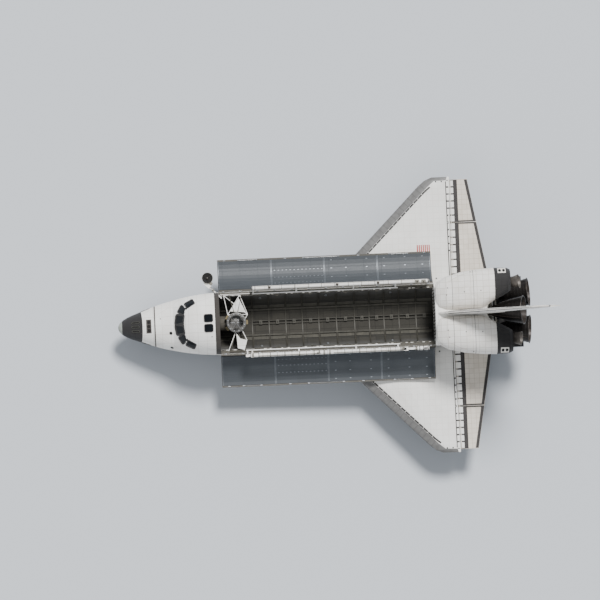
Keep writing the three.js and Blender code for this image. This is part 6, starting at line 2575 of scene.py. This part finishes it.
@dataclass(frozen=True)
class Antenna:
    """The dish antenna's dark bowl lining, rim, feed struts, gimbal box and mast fittings."""

    foot: Point = (8.96, 2.16, 0.0)
    turn_deg: float = 135.0
    dish: Pair = (2.022, -0.438)
    bowl: float = 0.66
    box: Pair = (1.556, -0.297)

    def build(self, nodes: Nodes) -> None:
        """Makes every piece of the antenna.

        Args:
            nodes: the frame's nodes by name; not used here.
        """
        x, y = self.dish
        base = (x, y, self.bowl)
        lining, rim_ring, struts, box = Form(), Form(), Form(), Form()
        lining.turned(((0.02, 0.0), (0.02, 0.2), (0.12, 0.435), (0.15, 0.448), (0.068, 0.225), (0.038, 0.0)),
                      base, UP, 40)
        rim_ring.turned(((0.115, 0.44), (0.115, 0.468), (0.135, 0.478), (0.152, 0.47), (0.156, 0.455),
                         (0.14, 0.445)), base, UP, 40)
        for turn in turns(3, 0.4):
            struts.tube([(x + 0.43 * math.cos(turn), y + 0.43 * math.sin(turn), self.bowl + 0.14),
                         (x + 0.03 * math.cos(turn), y + 0.03 * math.sin(turn), self.bowl + 0.27)], 0.012, 8)
        struts.turned(((0.2, 0.0), (0.2, 0.05), (0.27, 0.07), (0.285, 0.06), (0.285, 0.0)), base, UP, 20)
        u, v = self.box
        box.block((u - 0.19, v - 0.13, 0.5), (u + 0.19, v + 0.13, 0.74), 0.03)
        box.block((u + 0.1, v - 0.2, 0.56), (x - 0.12, v - 0.08, 0.66), 0.02)
        for along in (0.5, 0.95):
            box.block((along - 0.09, -0.1, 0.45), (along + 0.09, 0.1, 0.55), 0.02)
        struts.tube([(0.1, 0.07, 0.56), (0.8, 0.09, 0.57), (1.4, -0.1, 0.6)], 0.014, 8)
        frame = Matrix.Translation(self.foot) @ Matrix.Rotation(math.radians(self.turn_deg), 4, "Z")
        for form, name, finish in ((lining, "antenna_bowl_lining", SOOT), (rim_ring, "antenna_rim", TRAY),
                                   (struts, "antenna_feed_struts", STEEL_DARK),
                                   (box, "antenna_gimbal_box", TRAY)):
            form.mesh.transform(frame)
            form.done(name, finish, "antenna")


@dataclass(frozen=True)
class Sills:
    """Small covers and pads along the tops of both sills, and the rail ahead of the boom."""

    top: float = 0.248
    y: float = 2.332
    posts: tuple[float, ...] = (11.0, 11.7, 15.4, 20.3, 23.9)
    post_clearance: float = 0.35
    front: float = 8.95
    back: float = 26.9

    def build(self, nodes: Nodes) -> None:
        """Makes every piece on the sills.

        Args:
            nodes: the frame's nodes by name; not used here.
        """
        for side, hand in SIDE_NAMES.items():
            self._fittings(side, hand)
        self._rail()

    def _fittings(self, side: int, hand: str) -> None:
        """An uneven row of small covers and dark pads.

        Args:
            side: 1 for starboard, -1 for port.
            hand: the side's name.
        """
        pale, dark = Form(), Form()
        x, number = self.front, 0
        while x < self.back:
            wide = 0.07 + 0.05 * ((number * 7 + (side > 0) * 3) % 5) / 4
            if min(abs(x - post) for post in self.posts) > self.post_clearance:
                form = pale if (number * 5 + (side > 0)) % 3 else dark
                high = self.top + 0.03 + 0.02 * (number % 3)
                near, far = sorted((side * (self.y - 0.028), side * (self.y + 0.026)))
                form.block((x - wide, near, self.top - 0.01), (x + wide, far, high), 0.008)
            x += 0.34 + 0.11 * ((number * 3) % 4)
            number += 1
        pale.done(f"sill_covers_{hand}", BODY_TRIM)
        dark.done(f"sill_pads_{hand}", DARK_TRIM)

    def _rail(self) -> None:
        """The pale rail ahead of the sensor boom, on short feet."""
        form = Form()
        form.tube([(8.86, 2.44, 0.33), (11.42, 2.44, 0.33)], 0.034, 12)
        for x in (8.95, 9.75, 10.55, 11.3):
            form.block((x - 0.04, 2.4, self.top - 0.01), (x + 0.04, 2.48, 0.33), 0.008)
        form.done("sill_front_rail", BODY_TRIM)


@dataclass(frozen=True)
class GearDoor:
    """The places of the ribs, stringers and pull rods inside a gear door that hangs open."""

    name: str
    ribs_x: tuple[float, ...]
    ribs_y: Pair
    low: float
    high: float
    rib_half: float
    stringers_z: tuple[float, ...]
    stringers_y: Pair
    front: float
    back: float
    rods_x: Pair
    rod: tuple[Pair, Pair]
    rod_radius: float
    rod_sides: int
    foot: tuple[Pair, Pair]
    foot_half: float
    foot_bevel: float


@dataclass(frozen=True)
class Gear:
    """Links, hoses, hubs, ribs and door rods of the landing gear."""

    nose: Point = (3.607, 0.0, -4.333)
    main: Point = (23.724, 3.455, -5.404)
    doors: tuple[GearDoor, ...] = (
        GearDoor("nose_door", (1.95, 2.45, 2.95, 3.45, 3.75), (0.515, 0.555), -4.05, -3.15, 0.02,
                 (-3.95, -3.4), (0.52, 0.553), 1.8, 3.82, (2.2, 3.4), ((0.53, -3.55), (0.44, -2.6)), 0.02, 10,
                 ((0.5, -3.6), (0.555, -3.5)), 0.04, 0.01),
        GearDoor("main_door", tuple(20.75 + 0.46 * k for k in range(9)), (4.225, 4.266), -4.6, -3.4, 0.025,
                 (-4.5, -3.95, -3.45), (4.232, 4.265), 20.56, 24.5, (21.3, 23.9),
                 ((4.24, -3.7), (3.9, -2.75)), 0.03, 12, ((4.2, -3.78), (4.266, -3.66)), 0.05, 0.012))

    def build(self, nodes: Nodes) -> None:
        """Makes every piece of the gear.

        Args:
            nodes: the frame's nodes by name; not used here.
        """
        self._nose()
        self._main()
        self._hubs("nose_wheel_pair", self.nose, 0.22, 0.112, 0.406, False)
        self._hubs("main_wheel_pair", self.main, 0.4, 0.203, 0.565, True)
        for door in self.doors:
            self._doors(door)

    def _nose(self) -> None:
        """Collars and the steering box on the leg, and the torque links on the fork that steers."""
        x, _, _ = self.nose
        leg, links, hoses = Form(), Form(), Form()
        for z in (-2.15, -2.7, -3.55):
            leg.collar((x, 0, z), 0.035, 0.1, 0.125, 0.132, 24)
        leg.block((x - 0.2, -0.11, -3.42), (x - 0.08, 0.11, -3.12), 0.025)
        for side in (-1, 1):
            leg.tube([(x - 0.14, side * 0.1, -3.2), (x - 0.14, side * 0.27, -3.2)], 0.04, 12)
            leg.block((x + 0.1, side * 0.16 - 0.06, -3.05), (x + 0.16, side * 0.16 + 0.06, -2.93), 0.015)
            hoses.tube([(x + 0.1, side * 0.06, -2.1), (x + 0.125, side * 0.07, -2.6),
                        (x + 0.12, side * 0.07, -3.5)], 0.011, 8)
        links.slab([(x - 0.09, 0.05, -3.72), (x - 0.09, -0.05, -3.72), (x - 0.36, -0.03, -3.93),
                    (x - 0.36, 0.03, -3.93)], (0.02, 0, 0.035), 0.006)
        links.slab([(x - 0.36, 0.03, -3.96), (x - 0.36, -0.03, -3.96), (x - 0.08, -0.05, -4.16),
                    (x - 0.08, 0.05, -4.16)], (0.02, 0, 0.035), 0.006)
        links.pin((x - 0.36, 0, -3.94), STARBOARD, 0.05, 0.025, 12)
        leg.done("nose_leg_fittings", STEEL_DARK)
        hoses.done("nose_leg_hoses", DARK_TRIM)
        links.done("nose_torque_links", STEEL, "nose_fork")

    def _main(self) -> None:
        """Collars, torque links, brake hoses and a locking strut on each main leg."""
        x, y, axle = self.main
        leg, links, hoses = Form(), Form(), Form()
        for z in (-2.9, -3.6, -4.52):
            leg.collar((x, y, z), 0.045, 0.14, 0.178, 0.186, 28)
        leg.tube([(x + 0.12, y, -3.5), (x + 0.5, y - 0.1, -2.75)], (0.05, 0.05), 14)
        leg.tube([(x + 0.12, y, -3.5), (x + 0.3, y - 0.05, -3.14)], 0.07, 14)
        apex = x - 0.5
        for low, high in (((x - 0.11, -4.6), (apex, -4.86)), ((apex, -4.86), (x - 0.1, -5.2))):
            wide, slim = (0.075, 0.04) if low[0] > high[0] else (0.04, 0.075)
            links.slab([(low[0], y - wide, low[1]), (low[0], y + wide, low[1]), (high[0], y + slim, high[1]),
                        (high[0], y - slim, high[1])], (0.02, 0, 0.045), 0.008)
        links.pin((apex, y, -4.85), STARBOARD, 0.07, 0.034, 14)
        for step in (-0.07, 0.07):
            hoses.tube([(x + 0.16, y + step, -2.9), (x + 0.19, y + step, -3.6), (x + 0.185, y + step, -4.5),
                        (x + 0.25, y + step * 1.2, -4.85), (x + 0.12, y + step * 1.5, axle + 0.13)], 0.014, 8)
        leg.done("main_leg_fittings", STEEL_DARK, mirrored=True)
        links.done("main_torque_links", STEEL, mirrored=True)
        hoses.done("main_brake_hoses", DARK_TRIM, mirrored=True)

    @staticmethod
    def _hubs(body: str, axle: Point, apart: float, half: float, radius: float, both: bool) -> None:
        """A dished hub with nuts on each outer face of a pair of wheels, and ribs on the tyres' sides.

        Args:
            body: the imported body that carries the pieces.
            axle: the middle of the axle.
            apart: from there to the middle of a wheel.
            half: half the width of a wheel.
            radius: the wheel's radius.
            both: mirrors the pair onto the other leg, for the main gear.
        """
        hubs, ribs = Form(), Form()
        x, y, z = axle
        for side in (-1, 1):
            face = (x, y + side * (apart + half), z)
            aim = (0, side, 0)
            rim_size = radius * 0.5
            hubs.turned(((-0.03, 0.0), (-0.03, rim_size), (0.004, rim_size), (0.008, rim_size * 0.92),
                         (-0.012, rim_size * 0.8), (-0.012, rim_size * 0.42), (0.006, rim_size * 0.36),
                         (0.012, rim_size * 0.3), (0.012, 0.0)), face, aim, 32)
            for turn in turns(10):
                place = Vector(face) + Vector((math.cos(turn), 0, math.sin(turn))) * rim_size * 0.62
                hubs.turned(((-0.014, 0.0), (-0.014, 0.016), (0.002, 0.015), (0.004, 0.0)), place, aim, 6)
            for share in (0.66, 0.76):
                reach = radius * share
                ribs.turned(((-0.02, reach - 0.012), (0.001, reach - 0.012), (0.005, reach),
                             (0.001, reach + 0.012), (-0.02, reach + 0.012)), face, aim, 40)
        if both:
            hubs.both("main_wheel_hubs", STEEL, body)
            ribs.both("main_tyre_ribs", TYRE, body)
        else:
            hubs.done("nose_wheel_hubs", STEEL, body)
            ribs.done("nose_tyre_ribs", TYRE, body)

    @staticmethod
    def _doors(door: GearDoor) -> None:
        """Ribs, stringers and pull rods with their feet inside a pair of gear doors.

        Args:
            door: the starboard door of the pair.
        """
        ribs, rods = Form(), Form()
        outer, inner, half = door.ribs_y[1], door.ribs_y[0], door.rib_half
        for x in door.ribs_x:
            ribs.block((x - half, inner, door.low), (x + half, outer, door.high), half * 0.3)
        for z in door.stringers_z:
            ribs.block((door.front, door.stringers_y[0], z - half),
                       (door.back, door.stringers_y[1], z + half), half * 0.3)
        for x in door.rods_x:
            rods.tube([(x, *door.rod[0]), (x, *door.rod[1])], door.rod_radius, door.rod_sides)
            (y0, z0), (y1, z1) = door.foot
            rods.block((x - door.foot_half, y0, z0), (x + door.foot_half, y1, z1), door.foot_bevel)
        ribs.done(f"{door.name}_ribs", STRUCTURE, mirrored=True)
        rods.done(f"{door.name}_rods", STEEL, mirrored=True)


@dataclass(frozen=True)
class Belly:
    """Doors and attachment rings on the black underside."""

    doors: tuple[tuple[float, float, float], ...] = ((27.4, 1.25, 0.62),)
    attach: tuple[Point, ...] = ((26.467, 1.5, -3.8), (2.62, 0.0, -3.8))

    def build(self, nodes: Nodes) -> None:
        """Makes every piece of the underside.

        Args:
            nodes: the frame's nodes by name.
        """
        skin = Surface(nodes, "forward_thruster_module", "forward_fuselage", "mid_fuselage", "aft_fuselage")
        joints, tiles, rings = Form(), Form(), Form()
        for x, y, half in self.doors:
            for side in (-1, 1):
                for form, grow, proud in ((joints, 0.03, 0.004), (tiles, 0.0, 0.009)):
                    reach = half + grow
                    outline = quad((x, side * y, -4.5), (0, reach, 0), (reach, 0, 0))
                    form.laid(skin, outline, UP, proud, 0.012, 0.5)
        for x, y, z in self.attach:
            for side in ((-1, 1) if y else (1,)):
                spot = Spot(skin, (x, side * y, z), UP, AFT, (0.14, 0.14), 0.14)
                rings.pressed(spot, rim(0.04, 0.01), hollow=True, corner_points=7)
        joints.done("belly_door_joints", TILE_JOINT)
        tiles.done("belly_doors", BLACK_TILES)
        rings.done("belly_attachment_rings", STEEL_DARK)


ASSEMBLIES = (Nose(), Windows(), Bay(), DockingPort(), Doors(), Wings(), Pods(), Engines(), Fin(), BodyFlap(),
              Arm(), SensorBoom(), Antenna(), Sills(), Gear(), Belly())


def main() -> None:
    """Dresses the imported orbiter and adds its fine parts, one sub-assembly after another."""
    logging.basicConfig(level=logging.INFO, format="%(message)s")
    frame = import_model()
    nodes = frame["nodes"]
    Studio().build()
    dress_nodes(nodes)
    for assembly in ASSEMBLIES:
        assembly.build(nodes)
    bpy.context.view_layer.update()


if __name__ == "__main__":
    main()
